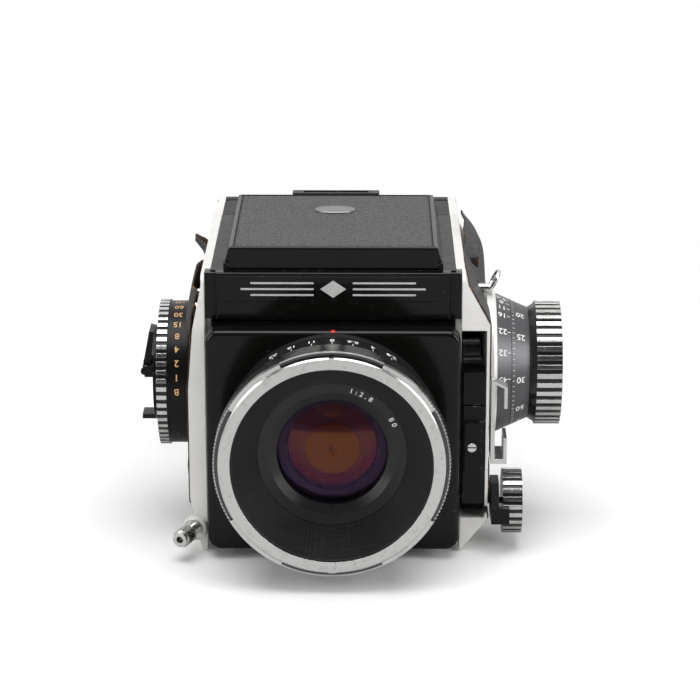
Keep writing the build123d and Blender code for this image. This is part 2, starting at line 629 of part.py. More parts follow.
with BuildPart() as carriage_arm:
    block(ARM_X, (-45.4, FRAME_Y[1]), (19.0, 69.0))
    block(ARM_X, (-45.4, -44.3), (56.4, 57.0), Mode.SUBTRACT)
    block(ARM_X, (-37, 39.6), (43.2, RACK_Z - 1.0))
    block(ARM_X, (-37, 16.0), (18.0, 26.0))
    block(ARM_X, (-37, -31.5), (14.2, 26.0))
    for z in RAIL_Z:
        rod((RAIL_X, -40, z), ALONG_Y, 82, RAIL_R + RUN, Mode.SUBTRACT)
    rod_x(ARM_X, TILT_KNOB_Y, TILT_KNOB_Z, TILT_SHAFT_R + RUN, Mode.SUBTRACT)
    block((47.4, 53.6), (-47.2, -45.3), (30.6, 50.4))
    rod((SCREW_X, -47.8, SCREW_Z), ALONG_Y, 1.0, 1.8)
    pitch = pi * MODULE
    root_z, tip_z = RACK_Z - 1.0, RACK_Z + 0.93 * MODULE
    for number in range(-2, 20):
        middle = KNOB_Y + (number + 0.5) * pitch
        root = 0.25 * pitch - 0.04 + (RACK_Z - root_z) * tan(radians(20))
        tip = 0.25 * pitch - 0.04 - (tip_z - RACK_Z) * tan(radians(20))
        sides = [(middle - root, root_z - 0.2), (middle - root, root_z), (middle - tip, tip_z)]
        sides += [(middle + tip, tip_z), (middle + root, root_z), (middle + root, root_z - 0.2)]
        prism_x(sides, (47.4, 54.2))
finish(carriage_arm, "carriage_arm")

# ---- focusing knob ------------------------------------------------------------------------
CONE_SLOPE = (CONE_BIG_R - CONE_SMALL_R) / (KNOB_X - FLANGE_X)
SPLIT_R = CONE_BIG_R - CONE_SLOPE * (RING_SPLIT_X - FLANGE_X)

with BuildPart() as depth_scale_ring:
    outer = [(FLANGE_X, SHAFT_R + RUN), (FLANGE_X, CONE_BIG_R), (RING_SPLIT_X - 0.1, SPLIT_R)]
    turned_x(outer + [(RING_SPLIT_X - 0.1, SHAFT_R + RUN)], KNOB_Y, KNOB_Z)
finish(depth_scale_ring, "depth_scale_ring")

with BuildPart() as distance_ring:
    outer = [(RING_SPLIT_X, SHAFT_R), (RING_SPLIT_X, SPLIT_R), (KNOB_X, CONE_SMALL_R)]
    turned_x(outer + [(KNOB_X, SHAFT_R)], KNOB_Y, KNOB_Z)
finish(distance_ring, "distance_ring")

with BuildPart() as focus_knob:
    knurled_x((KNURL_X, KNOB_END_X), KNOB_Y, KNOB_Z, KNURL_R, 42, 0.9)
    neck = [(KNOB_X + 0.02, 0), (KNOB_X + 0.02, CONE_SMALL_R), (KNURL_X, KNURL_R - 0.6)]
    turned_x(neck + [(KNURL_X, 0)], KNOB_Y, KNOB_Z)
    floor_x = KNOB_END_X - 1.2
    recess = [(floor_x, 0), (floor_x, KNURL_R - 3), (KNOB_END_X, KNURL_R - 2.2)]
    turned_x(recess + [(KNOB_END_X, 0)], KNOB_Y, KNOB_Z, Mode.SUBTRACT)
finish(focus_knob, "focus_knob")

with BuildPart() as pinion_shaft:
    gear_x((47.6, 54.0), KNOB_Y, KNOB_Z, PINION_TEETH, MODULE, -90)
    rod_x((46.6, KNOB_X), KNOB_Y, KNOB_Z, SHAFT_R - 0.02)
finish(pinion_shaft, "pinion_shaft")

# ---- tilting standard and its controls ----------------------------------------------------
MOUNT_R = 30.0

with BuildPart() as front_standard:
    standard_y = (STANDARD_FRONT_Y, STANDARD_REAR_Y)
    block((-STANDARD_X, STANDARD_X), standard_y, (STANDARD_LOW_Z, STANDARD_HIGH_Z))
    fillet(front_standard.edges().filter_by(Axis.Y), 5.0)
    fillet(front_standard.edges().group_by(Axis.Y)[0], 1.8)
    inner_x = STANDARD_X - STANDARD_WALL
    inner_y = (STANDARD_FRONT_Y + STANDARD_PLATE, STANDARD_REAR_Y)
    inner_z = (STANDARD_LOW_Z + STANDARD_WALL, STANDARD_HIGH_Z - STANDARD_WALL)
    block((-inner_x, inner_x), inner_y, inner_z, Mode.SUBTRACT)
    rod((0, STANDARD_FRONT_Y, AXIS_Z), ALONG_Y, 5, MOUNT_R, Mode.SUBTRACT)
    for side in (-1, 1):
        rod_x(sorted((side * 40.9, side * (STANDARD_X - 1))), TILT_Y, AXIS_Z, PIVOT_R)
finish(front_standard, "front_standard")

with BuildPart() as tilt_knob:
    knurled_x((61.7, 68.9), TILT_KNOB_Y, TILT_KNOB_Z, TILT_KNOB_R, 24, 0.8)
    rod_x((68.2, 69.0), TILT_KNOB_Y, TILT_KNOB_Z, TILT_KNOB_R - 2, Mode.SUBTRACT)
    rod_x((46.9, 68.0), TILT_KNOB_Y, TILT_KNOB_Z, TILT_SHAFT_R)
finish(tilt_knob, "tilt_knob")

LEVER_X = (57.3, 60.3)

with BuildPart() as tilt_lock_lever:
    plate = [(-48.6, 13.0), (-36.0, 11.8), (-31.0, 13.5), (-31.0, 21.5)]
    plate += [(-34.0, 26.0), (-43.0, 26.0), (-48.6, 19.0)]
    prism_x(plate, LEVER_X)
    block((LEVER_X[0], 63.9), (-51.0, -48.2), (13.0, 19.0))
    rod_x((57, 61), TILT_KNOB_Y, TILT_KNOB_Z, TILT_SHAFT_R + RUN, Mode.SUBTRACT)
finish(tilt_lock_lever, "tilt_lock_lever")

# ---- lens ---------------------------------------------------------------------------------
BAFFLE_Y = RIM_Y + 0.9
LUG_ANGLES = (-47, -133, 47, 133)
LUG_SPAN = 34
LUG_IN_R = RIM_OUT_R - 1
LUG_OUT_R = RIM_OUT_R + 1.5
BAND_IN_R = BAND_R - 3.2  # what the aperture ring turns on
BAFFLE_R = RIM_IN_R - 0.1
BAFFLE_STEPS = 18
SEAT_Y = STANDARD_FRONT_Y - 0.05
TUBE_R = MOUNT_R - 0.3

with BuildPart() as lens_barrel:
    body = [(SEAT_Y, 21.0), (SEAT_Y, BARREL_R), (BAND_REAR_Y + 0.1, BARREL_R)]
    body += [(BAND_REAR_Y + 0.1, BAND_IN_R), (RIM_Y + 2.9, BAND_IN_R)]
    body += [(RIM_Y + 2.9, BAFFLE_R), (BAFFLE_Y, BAFFLE_R)]
    rise = (BAFFLE_R - NAME_RING_R - 0.1) / BAFFLE_STEPS
    run = (NAME_RING_Y - BAFFLE_Y) / BAFFLE_STEPS
    for number in range(BAFFLE_STEPS):
        r = BAFFLE_R - rise * (number + 1)
        body += [(BAFFLE_Y + run * number, r), (BAFFLE_Y + run * (number + 1), r)]
    body += [(-65.8, NAME_RING_R + 0.1), (-65.8, 16.2), (-61.0, 16.2), (-61.0, 21.0)]
    turned_y(body)
    tube = [(SEAT_Y - 0.05, 20.4), (SEAT_Y - 0.05, TUBE_R), (-49.0, TUBE_R)]
    turned_y(tube + [(-49.0, 22.0), (-41.0, 20.0), (-41.0, 17.0)])
finish(lens_barrel, "lens_barrel")

with BuildPart() as aperture_ring:
    ring = [(BAND_REAR_Y, BAND_IN_R + RUN), (BAND_REAR_Y, BAND_R), (CHROME_REAR_Y, BAND_R)]
    turned_y(ring + [(CHROME_REAR_Y, BAND_IN_R + RUN)])
    grip_plane = Plane(origin=(0, CHROME_REAR_Y, AXIS_Z), x_dir=ALONG_X, z_dir=(0, -1, 0))
    with BuildSketch(grip_plane) as outline:
        Circle(CHROME_R)
        for side in (0, 180):
            with PolarLocations(CHROME_R, 46, start_angle=side - 45, angular_range=90):
                Rectangle(0.7, 0.7, mode=Mode.SUBTRACT)
        Circle(BAND_IN_R + RUN, mode=Mode.SUBTRACT)
    extrude(outline.sketch, amount=CHROME_REAR_Y - CHROME_FRONT_Y)
finish(aperture_ring, "aperture_ring")

with BuildPart() as front_rim:
    rim = [(RIM_Y, RIM_IN_R), (RIM_Y, RIM_OUT_R - 0.5), (RIM_Y + 0.5, RIM_OUT_R)]
    rim += [(CHROME_FRONT_Y - 0.1, RIM_OUT_R), (CHROME_FRONT_Y - 0.1, 36.2)]
    rim += [(RIM_Y + 2.8, 36.2), (RIM_Y + 2.8, RIM_IN_R)]
    turned_y(rim)
    for angle in LUG_ANGLES:
        with BuildSketch(grip_plane.offset(CHROME_REAR_Y - RIM_Y - 0.9)) as lug:
            with BuildLine():
                low = angle - LUG_SPAN / 2
                CenterArc((0, 0), LUG_IN_R, low, LUG_SPAN)
                CenterArc((0, 0), LUG_OUT_R, low, LUG_SPAN)
                for end in (low, low + LUG_SPAN):
                    inner_end = PolarLine((0, 0), LUG_IN_R, end, mode=Mode.PRIVATE) @ 1
                    outer_end = PolarLine((0, 0), LUG_OUT_R, end, mode=Mode.PRIVATE) @ 1
                    Line(inner_end, outer_end)
            make_face()
        extrude(lug.sketch, amount=-1.0)
    low_mark = (AXIS_Z - RIM_OUT_R + 0.3, AXIS_Z - RIM_IN_R - 0.5)
    block((-1.4, 1.4), (RIM_Y - 0.5, RIM_Y + 1), low_mark)
    high_mark = (AXIS_Z + RIM_OUT_R - 1.8, AXIS_Z + RIM_OUT_R)
    block((-0.9, 0.9), (RIM_Y - 0.3, RIM_Y + 1), high_mark)
finish(front_rim, "front_rim")

with BuildPart() as name_ring:
    ring = [(NAME_RING_Y, NAME_RING_R), (NAME_RING_Y + 0.9, 22.6), (NAME_RING_Y + 2.6, GLASS_R + 0.6)]
    ring += [(NAME_RING_Y + 8, GLASS_R + 0.6), (NAME_RING_Y + 8, NAME_RING_R)]
    turned_y(ring)
finish(name_ring, "name_ring")


def lens_element(y, radius, front_bulge, rear_bulge, thickness):
    """A glass element: its faces are spherical caps that bulge away from the middle."""

    def cap_point(bulge):
        sphere_r = (radius**2 + bulge**2) / (2 * bulge)
        return sphere_r - sqrt(sphere_r**2 - radius**2 / 4)

    half, top = AXIS_Z + radius / 2, AXIS_Z + radius
    front = y - front_bulge
    rear = y + thickness + rear_bulge
    with BuildSketch(Plane.YZ) as outline:
        with BuildLine() as path:
            ThreePointArc((front, AXIS_Z), (front + cap_point(front_bulge), half), (y, top))
            Line((y, top), (y + thickness, top))
            ThreePointArc((y + thickness, top), (rear - cap_point(rear_bulge), half), (rear, AXIS_Z))
            Line((rear, AXIS_Z), (front, AXIS_Z))
        make_face(path.edges())
    revolve(outline.sketch, axis=Axis((0, 0, AXIS_Z), ALONG_Y))


with BuildPart() as lens_elements:
    lens_element(-69.8, GLASS_R + 0.4, 3.0, 0.4, 2.6)
    lens_element(-64.6, 15.8, 1.6, 0.3, 2.2)
    lens_element(-51.0, 14.0, 0.3, 1.4, 2.2)
    lens_element(-45.6, 15.6, 0.5, 1.6, 2.4)
finish(lens_elements, "lens_elements")

with BuildPart() as iris_blades:
    iris = [(-58.0, 12.4), (-57.7, 12.4), (-57.7, 20.8), (-58.0, 20.8)]
    turned_y(iris)
finish(iris_blades, "iris_blades")

# ---- speed dial and winding crank ---------------------------------------------------------
LEVER_PIN_X = -70.3
LEVER_PIN_Z = 60.0

with BuildPart() as speed_dial:
    drum = [(DIAL_IN_X, DIAL_BORE_R + RUN), (DIAL_IN_X, DIAL_R), (DIAL_MID_X, DIAL_R)]
    turned_x(drum + [(DIAL_MID_X, DIAL_BORE_R + RUN)], DIAL_Y, DIAL_Z)
finish(speed_dial, "speed_dial")

with BuildPart() as dial_grip:
    knurled_x((DIAL_OUT_X, DIAL_MID_X - 0.02), DIAL_Y, DIAL_Z, DIAL_KNURL_R, 54, 0.8)
    rod_x((DIAL_OUT_X, DIAL_MID_X), DIAL_Y, DIAL_Z, DIAL_BORE_R + RUN, Mode.SUBTRACT)
    rod_x((DIAL_OUT_X, DIAL_OUT_X + 1.2), DIAL_Y, DIAL_Z, DIAL_KNURL_R - 3, Mode.SUBTRACT)
finish(dial_grip, "dial_grip")

with BuildPart() as crank_hub:
    rod_x((-66.4, -64.5), DIAL_Y, DIAL_Z, 17.4)
    rod_x((-67, -63), DIAL_Y, DIAL_Z, CRANK_SHAFT_R - 0.02, Mode.SUBTRACT)
    block((-71.6, -65.6), (DIAL_Y - 4, DIAL_Y + 4), (DIAL_Z - 17.3, DIAL_Z - 15.6))
    for y in (DIAL_Y - 6.8, DIAL_Y + 5.4):
        block((-70.3, -65.6), (y, y + 1.4), (LEVER_PIN_Z - 2.2, LEVER_PIN_Z + 2.2))
        rod((LEVER_PIN_X, y, LEVER_PIN_Z), ALONG_Y, 1.4, 1.4)
    rod((LEVER_PIN_X, DIAL_Y - 6.5, LEVER_PIN_Z), ALONG_Y, 13.0, 0.57)
finish(crank_hub, "crank_hub")

with BuildPart() as crank_lever:
    wedge = [(-71.6, 58.5), (-68.6, 58.3), (-66.7, 74.6), (-68.4, 75.0)]
    prism_y(wedge, (DIAL_Y - 5.2, DIAL_Y + 5.2))
    fillet(crank_lever.edges().filter_by(Axis.Y).sort_by(Axis.Z)[:2], 0.5)
    rod((LEVER_PIN_X, DIAL_Y - 6, LEVER_PIN_Z), ALONG_Y, 12, 0.62, Mode.SUBTRACT)
finish(crank_lever, "crank_lever")

with BuildPart() as crank_shaft:
    rod_x((-66.4, -44.4), DIAL_Y, DIAL_Z, CRANK_SHAFT_R - 0.04)
    gear_x((-49.6, -47.0), DIAL_Y, DIAL_Z, CRANK_TEETH, 1.0, 0)
finish(crank_shaft, "crank_shaft")

with BuildPart() as cocking_gear:
    gear_y = DIAL_Y + 2 * CRANK_GEAR_R
    gear_x((-49.6, -47.0), gear_y, DIAL_Z, CRANK_TEETH, 1.0, 180 + 180 / CRANK_TEETH)
    rod_x((-50, -46), gear_y, DIAL_Z, 2.0 + RUN, Mode.SUBTRACT)
finish(cocking_gear, "cocking_gear")

# ---- shutter release ----------------------------------------------------------------------
with BuildPart() as release_socket:
    rod(on_release_axis(-6.5), RELEASE_AXIS, 8.0, 2.85)
    rod(on_release_axis(0.6), RELEASE_AXIS, 0.9, 3.9)
    rod(on_release_axis(-7), RELEASE_AXIS, 10, 1.9 + RUN, Mode.SUBTRACT)
finish(release_socket, "release_socket")

with BuildPart() as release_button:
    rod(on_release_axis(-3.4), RELEASE_AXIS, 16.0, 1.9)
    button_plane = Plane(origin=on_release_axis(5.6), z_dir=RELEASE_AXIS)
    with BuildSketch(button_plane) as collar:
        Circle(3.3)
        with PolarLocations(3.3, 22):
            Rectangle(0.7, 0.45, mode=Mode.SUBTRACT)
    extrude(collar.sketch, amount=5.8)
    rod(on_release_axis(11.4), RELEASE_AXIS, 1.5, 2.7)
    rod(on_release_axis(5.0), RELEASE_AXIS, 8, 1.3, Mode.SUBTRACT)
finish(release_button, "release_button")

# ---- accessory shoe and strap lugs --------------------------------------------------------
with BuildPart() as accessory_shoe:
    channel = [(56.95, 34.0), (62.8, 34.0), (62.8, 43.8), (61.6, 43.8), (61.6, 35.8), (58.4, 35.8)]
    channel += [(58.4, 64.2), (61.6, 62.6), (61.6, 55.0), (62.8, 55.0), (62.8, 63.2), (56.95, 66.0)]
    prism_y(channel, (-44.3, -30.0))
    rod_x((56, 64), KNOB_Y, KNOB_Z, KNOB_FLANGE_R + 0.4, Mode.SUBTRACT)
finish(accessory_shoe, "accessory_shoe")

with BuildPart() as strap_lugs:
    rod_x((-52.4, -47.6), LUG_Y, LEFT_LUG_Z, LUG_R)
    rod_x((50.2, LUG_TIP_X), LUG_Y, RIGHT_LUG_Z, LUG_R)
    middle = (LUG_TIP_X + 0.9, LUG_Y, RIGHT_LUG_Z + 3.0)
    with Locations(Plane(origin=middle, x_dir=ALONG_Y, z_dir=(1, 0, -0.5))):
        Torus(3.4, 0.8)
finish(strap_lugs, "strap_lugs")

# ---- magazine -----------------------------------------------------------------------------
MAG_FRONT_Y = JOINT_Y + 0.25
MAG_WALL = 2.0
SLIDE_Y = (43.4, 44.1)
SLIDE_Z = (15.0, 81.0)
HINGE_Z = TOP_Z - 1.3
HINGE_Y = MAG_SPLIT_Y


def magazine_outline(inset, front):
    """The magazine seen from the side, rounded at both rear corners."""
    low, high = MAG_LOW_Z + inset, TOP_Z - inset
    rear = MAG_REAR_Y - inset
    radius = MAG_ROUND - inset
    with BuildLine() as path:
        Line((front, low), (rear - radius, low))
        CenterArc((rear - radius, low + radius), radius, -90, 90)
        Line((rear, low + radius), (rear, high - radius))
        CenterArc((rear - radius, high - radius), radius, 0, 90)
        Line((rear - radius, high), (front, high))
        Line((front, high), (front, low))
    make_face(path.edges())


with BuildPart() as magazine_shell:
    block((-MAG_X, MAG_X), (MAG_FRONT_Y, MAG_SPLIT_Y - 0.1), (MAG_LOW_Z, TOP_Z))
    inner_x = MAG_X - MAG_WALL
    inner_z = (MAG_LOW_Z + MAG_WALL, TOP_Z - MAG_WALL)
    block((-inner_x, inner_x), (MAG_FRONT_Y + 1.6, MAG_SPLIT_Y), inner_z, Mode.SUBTRACT)
    mouth = GATE_HALF + 1
    mouth_z = (AXIS_Z - mouth, AXIS_Z + mouth)
    block((-mouth, mouth), (MAG_FRONT_Y - 1, MAG_FRONT_Y + 2), mouth_z, Mode.SUBTRACT)
    slot_y = (SLIDE_Y[0] - RUN, SLIDE_Y[1] + RUN)
    slot_z = (SLIDE_Z[0] - 0.2, SLIDE_Z[1] + 0.2)
    block((inner_x - 1, MAG_X), slot_y, slot_z, Mode.SUBTRACT)
    block((-MAG_X, MAG_X), (HINGE_Y - 2.0, HINGE_Y), (HINGE_Z - 2.0, TOP_Z), Mode.SUBTRACT)
    for x in (-40, 0, 40):
        block((x - 3, x + 3), (HINGE_Y - 4.0, HINGE_Y), (HINGE_Z - 1.2, HINGE_Z + 1.2))
        rod_x((x - 3, x + 3), HINGE_Y, HINGE_Z, 1.2)
    rod_x((-MAG_X, MAG_X), HINGE_Y, HINGE_Z, 0.65, Mode.SUBTRACT)
    rod((MAG_X - 12, 52, TOP_Z - 3), ALONG_Z, 4, 2.4 + RUN, Mode.SUBTRACT)
    block((-inner_x, inner_x), (47.6, 49.4), (12.0, 84.0))
    gate_z = (AXIS_Z - GATE_HALF, AXIS_Z + GATE_HALF)
    block((-GATE_HALF, GATE_HALF), (47, 50), gate_z, Mode.SUBTRACT)
finish(magazine_shell, "magazine_shell")

with BuildPart() as guide_rollers:
    for z in (8.6, 87.2):
        rod_x((-31.5, 31.5), 49.0, z, 2.8)
        rod_x((-45.0, 45.0), 49.0, z, 1.0)
finish(guide_rollers, "guide_rollers")

CHEEK_X = (33.5, 35.0)
SPOOL_PIN_R = 2.6

with BuildPart() as film_insert:
    for side in (-1, 1):
        cheek = sorted((side * CHEEK_X[0], side * CHEEK_X[1]))
        block(cheek, (50.2, 78.0), (12.0, 84.0))
        for z in (SUPPLY_Z, TAKE_UP_Z):
            rod_x(cheek, SPOOL_Y, z, SPOOL_PIN_R + RUN, Mode.SUBTRACT)
    block((-CHEEK_X[1], CHEEK_X[1]), (50.2, 51.4), (17.0, 79.0))
finish(film_insert, "film_insert")


def spool(z, shaft_x):
    """A film spool with its flanges, film and the pin it turns on."""
    rod_x((-32.6, 32.6), SPOOL_Y, z, 5.0)
    for side in (-1, 1):
        rod_x(sorted((side * 31.4, side * 32.6)), SPOOL_Y, z, 11.8)
    rod_x(shaft_x, SPOOL_Y, z, SPOOL_PIN_R)


with BuildPart() as supply_spool:
    spool(SUPPLY_Z, (-36.5, 36.5))
    rod_x((-31.4, 31.4), SPOOL_Y, SUPPLY_Z, 10.2)
finish(supply_spool, "supply_spool")

with BuildPart() as take_up_spool:
    spool(TAKE_UP_Z, (-48.0, 36.5))
    rod_x((-50.6, -47.35), SPOOL_Y, TAKE_UP_Z, 8.0)
    rod_x((-50.6, -49.6), SPOOL_Y, TAKE_UP_Z, 6.6, Mode.SUBTRACT)
    block((-50.5, -49.6), (SPOOL_Y - 6.9, SPOOL_Y + 6.9), (TAKE_UP_Z - 1.6, TAKE_UP_Z + 1.6))
finish(take_up_spool, "take_up_spool")

DOOR_IN_Y = MAG_SPLIT_Y + 0.1

with BuildPart() as magazine_door:
    with BuildSketch(Plane.YZ.offset(-MAG_X)) as outline:
        magazine_outline(0, DOOR_IN_Y)
    extrude(outline.sketch, amount=2 * MAG_X)
    with BuildSketch(Plane.YZ.offset(MAG_WALL - MAG_X)) as outline:
        magazine_outline(MAG_WALL, DOOR_IN_Y - 1)
    extrude(outline.sketch, amount=2 * (MAG_X - MAG_WALL), mode=Mode.SUBTRACT)
    with Locations((0, HINGE_Y, HINGE_Z)):
        Box(2 * MAG_X, 4.2, 4.2, mode=Mode.SUBTRACT)
    for low, high in ((-46.5, -43.3), (-36.7, -3.3), (3.3, 36.7), (43.3, 46.5)):
        rod_x((low, high), HINGE_Y, HINGE_Z, 1.2)
        block((low, high), (HINGE_Y, HINGE_Y + 2.6), (HINGE_Z - 1.2, HINGE_Z + 1.2))
    rod_x((-MAG_X, MAG_X), HINGE_Y, HINGE_Z, 0.65, Mode.SUBTRACT)
    rod_x((-MAG_X, MAG_WALL - MAG_X), SPOOL_Y, TAKE_UP_Z, SPOOL_PIN_R + 0.2, Mode.SUBTRACT)
    slot_path = (-MAG_X - 1, MAG_WALL - MAG_X)
    block(slot_path, (DOOR_IN_Y - 1, SPOOL_Y), (TAKE_UP_Z - 3, TAKE_UP_Z + 3), Mode.SUBTRACT)
finish(magazine_door, "magazine_door")

with BuildPart() as door_latch:
    block((-9, 9), (MAG_SPLIT_Y - 8, MAG_SPLIT_Y + 5.5), (MAG_LOW_Z - 1.0, MAG_LOW_Z - 0.05))
    fillet(door_latch.edges().filter_by(Axis.Z), 2)
finish(door_latch, "door_latch")

with BuildPart() as dark_slide:
    block((-30.5, 52.0), SLIDE_Y, SLIDE_Z)
    block((49.5, 56.0), (42.6, 44.9), (22.0, 74.0))
    fillet(dark_slide.edges().group_by(Axis.X)[-1].filter_by(Axis.Y), 2)
    block((51.0, 54.6), (42, 46), (30.0, 66.0), Mode.SUBTRACT)
finish(dark_slide, "dark_slide")

with BuildPart() as magazine_lock:
    rod((MAG_X - 12, 52, TOP_Z - 3.4), ALONG_Z, 4.6, 2.4)
finish(magazine_lock, "magazine_lock")

# ---- hinge pins ---------------------------------------------------------------------------
with BuildPart() as hinge_pins:
    for side in (-1, 1):
        rod_x(sorted((side * 35.2, side * 39.2)), LID_PIN_Y, LID_PIN_Z, 0.7)
        rod((side * FLAP_X, -31.4, SIDE_FLAP_Z), ALONG_Y, 64.9, FLAP_PIN_R)
    rod_x((-34.3, 34.3), REAR_FLAP_Y, REAR_FLAP_Z, FLAP_PIN_R)
    rod_x((-43.4, 43.4), MIRROR_PIN_Y, MIRROR_PIN_Z, MIRROR_PIN_R)
    rod_x((-46.8, 46.8), HINGE_Y, HINGE_Z, 0.6)
finish(hinge_pins, "hinge_pins")
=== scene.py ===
"""The looks of a medium format single lens reflex camera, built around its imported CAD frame.

Metres, in the CAD frame: X to the right seen from the front, +Y towards the film, +Z up."""

import json
from math import cos, hypot, pi, radians, sin

import bmesh
import bpy
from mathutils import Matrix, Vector, noise
from mathutils.geometry import delaunay_2d_cdt


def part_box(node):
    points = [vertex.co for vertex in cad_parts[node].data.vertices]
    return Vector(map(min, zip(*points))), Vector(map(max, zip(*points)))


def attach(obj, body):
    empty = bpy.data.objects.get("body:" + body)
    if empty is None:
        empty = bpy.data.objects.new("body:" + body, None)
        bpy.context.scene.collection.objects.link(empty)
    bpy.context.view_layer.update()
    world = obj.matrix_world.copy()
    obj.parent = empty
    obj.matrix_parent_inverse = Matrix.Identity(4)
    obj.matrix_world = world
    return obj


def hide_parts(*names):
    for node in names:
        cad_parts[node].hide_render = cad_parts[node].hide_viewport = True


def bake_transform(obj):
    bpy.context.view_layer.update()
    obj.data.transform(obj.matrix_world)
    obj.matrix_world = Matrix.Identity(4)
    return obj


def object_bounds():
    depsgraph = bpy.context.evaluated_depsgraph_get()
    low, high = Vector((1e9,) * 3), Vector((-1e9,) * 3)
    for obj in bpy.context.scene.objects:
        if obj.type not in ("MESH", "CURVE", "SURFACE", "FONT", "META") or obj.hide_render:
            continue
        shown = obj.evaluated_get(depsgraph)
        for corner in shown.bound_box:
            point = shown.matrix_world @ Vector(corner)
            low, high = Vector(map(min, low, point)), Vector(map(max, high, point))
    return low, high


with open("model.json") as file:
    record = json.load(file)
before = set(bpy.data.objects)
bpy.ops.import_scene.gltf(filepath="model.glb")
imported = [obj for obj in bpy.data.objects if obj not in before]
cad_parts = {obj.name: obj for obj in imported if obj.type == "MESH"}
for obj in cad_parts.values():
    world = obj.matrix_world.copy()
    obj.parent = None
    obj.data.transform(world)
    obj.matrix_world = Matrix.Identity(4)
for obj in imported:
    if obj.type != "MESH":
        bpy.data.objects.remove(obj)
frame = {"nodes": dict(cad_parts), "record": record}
cad_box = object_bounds()
node_slot = {part["node"]: part["material_slot"] for part in frame["record"]["subparts"]}

MM = 0.001
SIDES = (-1, 1)
FLOOR_Z = cad_box[0][2]


def middle(node):
    """The centre of a CAD node's box."""
    low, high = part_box(node)
    return (low + high) / 2


# ---- places read from the frame -------------------------------------------------------------
AXIS_Z = middle("front_rim").z
RING_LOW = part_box("aperture_ring")[0]
BAND_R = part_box("lens_barrel")[1].x + 1.7 * MM
GRIP_REAR_Y = RING_LOW.y + 8.4 * MM
MAGAZINE_DARK_X = 43.9 * MM
KNOB = middle("focus_knob")
DIAL = middle("dial_grip")
TILT = middle("tilt_knob")


# ---- material building ----------------------------------------------------------------------
class Finish:
    """One procedural material. Calls add a node and give back its output socket."""

    def __init__(self, name, **settings):
        self.material = bpy.data.materials.new(name)
        self.material.use_nodes = True
        self.tree = self.material.node_tree
        self.tree.nodes.clear()
        self.output = self.tree.nodes.new("ShaderNodeOutputMaterial")
        self.shader = self.tree.nodes.new("ShaderNodeBsdfPrincipled")
        self.tree.links.new(self.shader.outputs[0], self.output.inputs[0])
        self.place = self.tree.nodes.new("ShaderNodeTexCoord").outputs["Object"]
        self.set(**settings)

    def feed(self, socket, value):
        """Links a socket, or writes a plain value into it."""
        if isinstance(value, bpy.types.NodeSocket):
            self.tree.links.new(value, socket)
        elif isinstance(value, tuple) and len(value) == 3 and socket.type == "RGBA":
            socket.default_value = (*value, 1.0)
        else:
            socket.default_value = value

    def set(self, **settings):
        """Feeds the surface shader's inputs; base_color names the input Base Color."""
        names = {socket.name.lower().replace(" ", "_"): socket for socket in self.shader.inputs}
        for key, value in settings.items():
            self.feed(names[key], value)

    def add(self, kind, inputs, output=0, **options):
        node = self.tree.nodes.new("ShaderNode" + kind)
        for key, value in options.items():
            setattr(node, key, value)
        for key, value in inputs.items():
            self.feed(node.inputs[key], value)
        return node.outputs[output]

    def scaled(self, x, y, z):
        """The object's own coordinates, stretched by a factor on each axis."""
        return self.add("Mapping", {"Vector": self.place, "Scale": (x, y, z)})

    def noise(self, grain_mm, detail=3.0, roughness=0.5, vector=None, distortion=0.0):
        """Cloudy noise, 0 to 1, with features of about the given size."""
        inputs = {"Vector": vector or self.place, "Scale": 1 / (grain_mm * MM), "Detail": detail}
        inputs.update({"Roughness": roughness, "Distortion": distortion})
        return self.add("TexNoise", inputs, "Fac")

    def cells(self, grain_mm, feature="F1", vector=None):
        """The distance to the middle, or the edge, of random cells."""
        inputs = {"Vector": vector or self.place, "Scale": 1 / (grain_mm * MM)}
        return self.add("TexVoronoi", inputs, "Distance", feature=feature)

    def math(self, operation, a, b=0.0, clamp=False):
        node = self.tree.nodes.new("ShaderNodeMath")
        node.operation = operation
        node.use_clamp = clamp
        self.feed(node.inputs[0], a)
        self.feed(node.inputs[1], b)
        return node.outputs[0]

    def between(self, value, low, high):
        """0 below low, 1 above high, straight in between; low may be the larger one."""
        inputs = {"Value": value, "From Min": low, "From Max": high}
        return self.add("MapRange", inputs, clamp=True)

    def mix(self, share, a, b):
        """A colour between a and b."""
        node = self.tree.nodes.new("ShaderNodeMix")
        node.data_type = "RGBA"
        for socket, value in zip((node.inputs[0], node.inputs[6], node.inputs[7]), (share, a, b)):
            self.feed(socket, value)
        return node.outputs[2]

    def bump(self, height, depth_mm, strength=1.0, normal=None):
        inputs = {"Height": height, "Distance": depth_mm * MM, "Strength": strength}
        if normal is not None:
            inputs["Normal"] = normal
        return self.add("Bump", inputs)

    def soft_edge(self, radius_mm):
        """The surface normal, rounded near sharp edges."""
        return self.add("Bevel", {"Radius": radius_mm * MM}, samples=4)

    def edge(self, radius_mm):
        """1 on sharp edges, falling to 0 within the radius."""
        flat = self.tree.nodes.new("ShaderNodeNewGeometry").outputs["Normal"]
        inputs = {0: self.soft_edge(radius_mm), 1: flat}
        dot = self.add("VectorMath", inputs, "Value", operation="DOT_PRODUCT")
        return self.between(dot, 0.995, 0.86)

    def axes(self):
        """The object coordinates as three separate sockets."""
        node = self.tree.nodes.new("ShaderNodeSeparateXYZ")
        self.feed(node.inputs[0], self.place)
        return node.outputs[0], node.outputs[1], node.outputs[2]

    def reach(self, centre, along):
        """Distance from a line through centre that runs along X (0) or Y (1)."""
        x, y, z = self.axes()
        across = (y, z) if along == 0 else (x, z)
        at = (centre.y, centre.z) if along == 0 else (centre.x, centre.z)
        parts = [self.math("POWER", self.math("SUBTRACT", a, b), 2.0) for a, b in zip(across, at)]
        return self.math("SQRT", self.math("ADD", *parts))


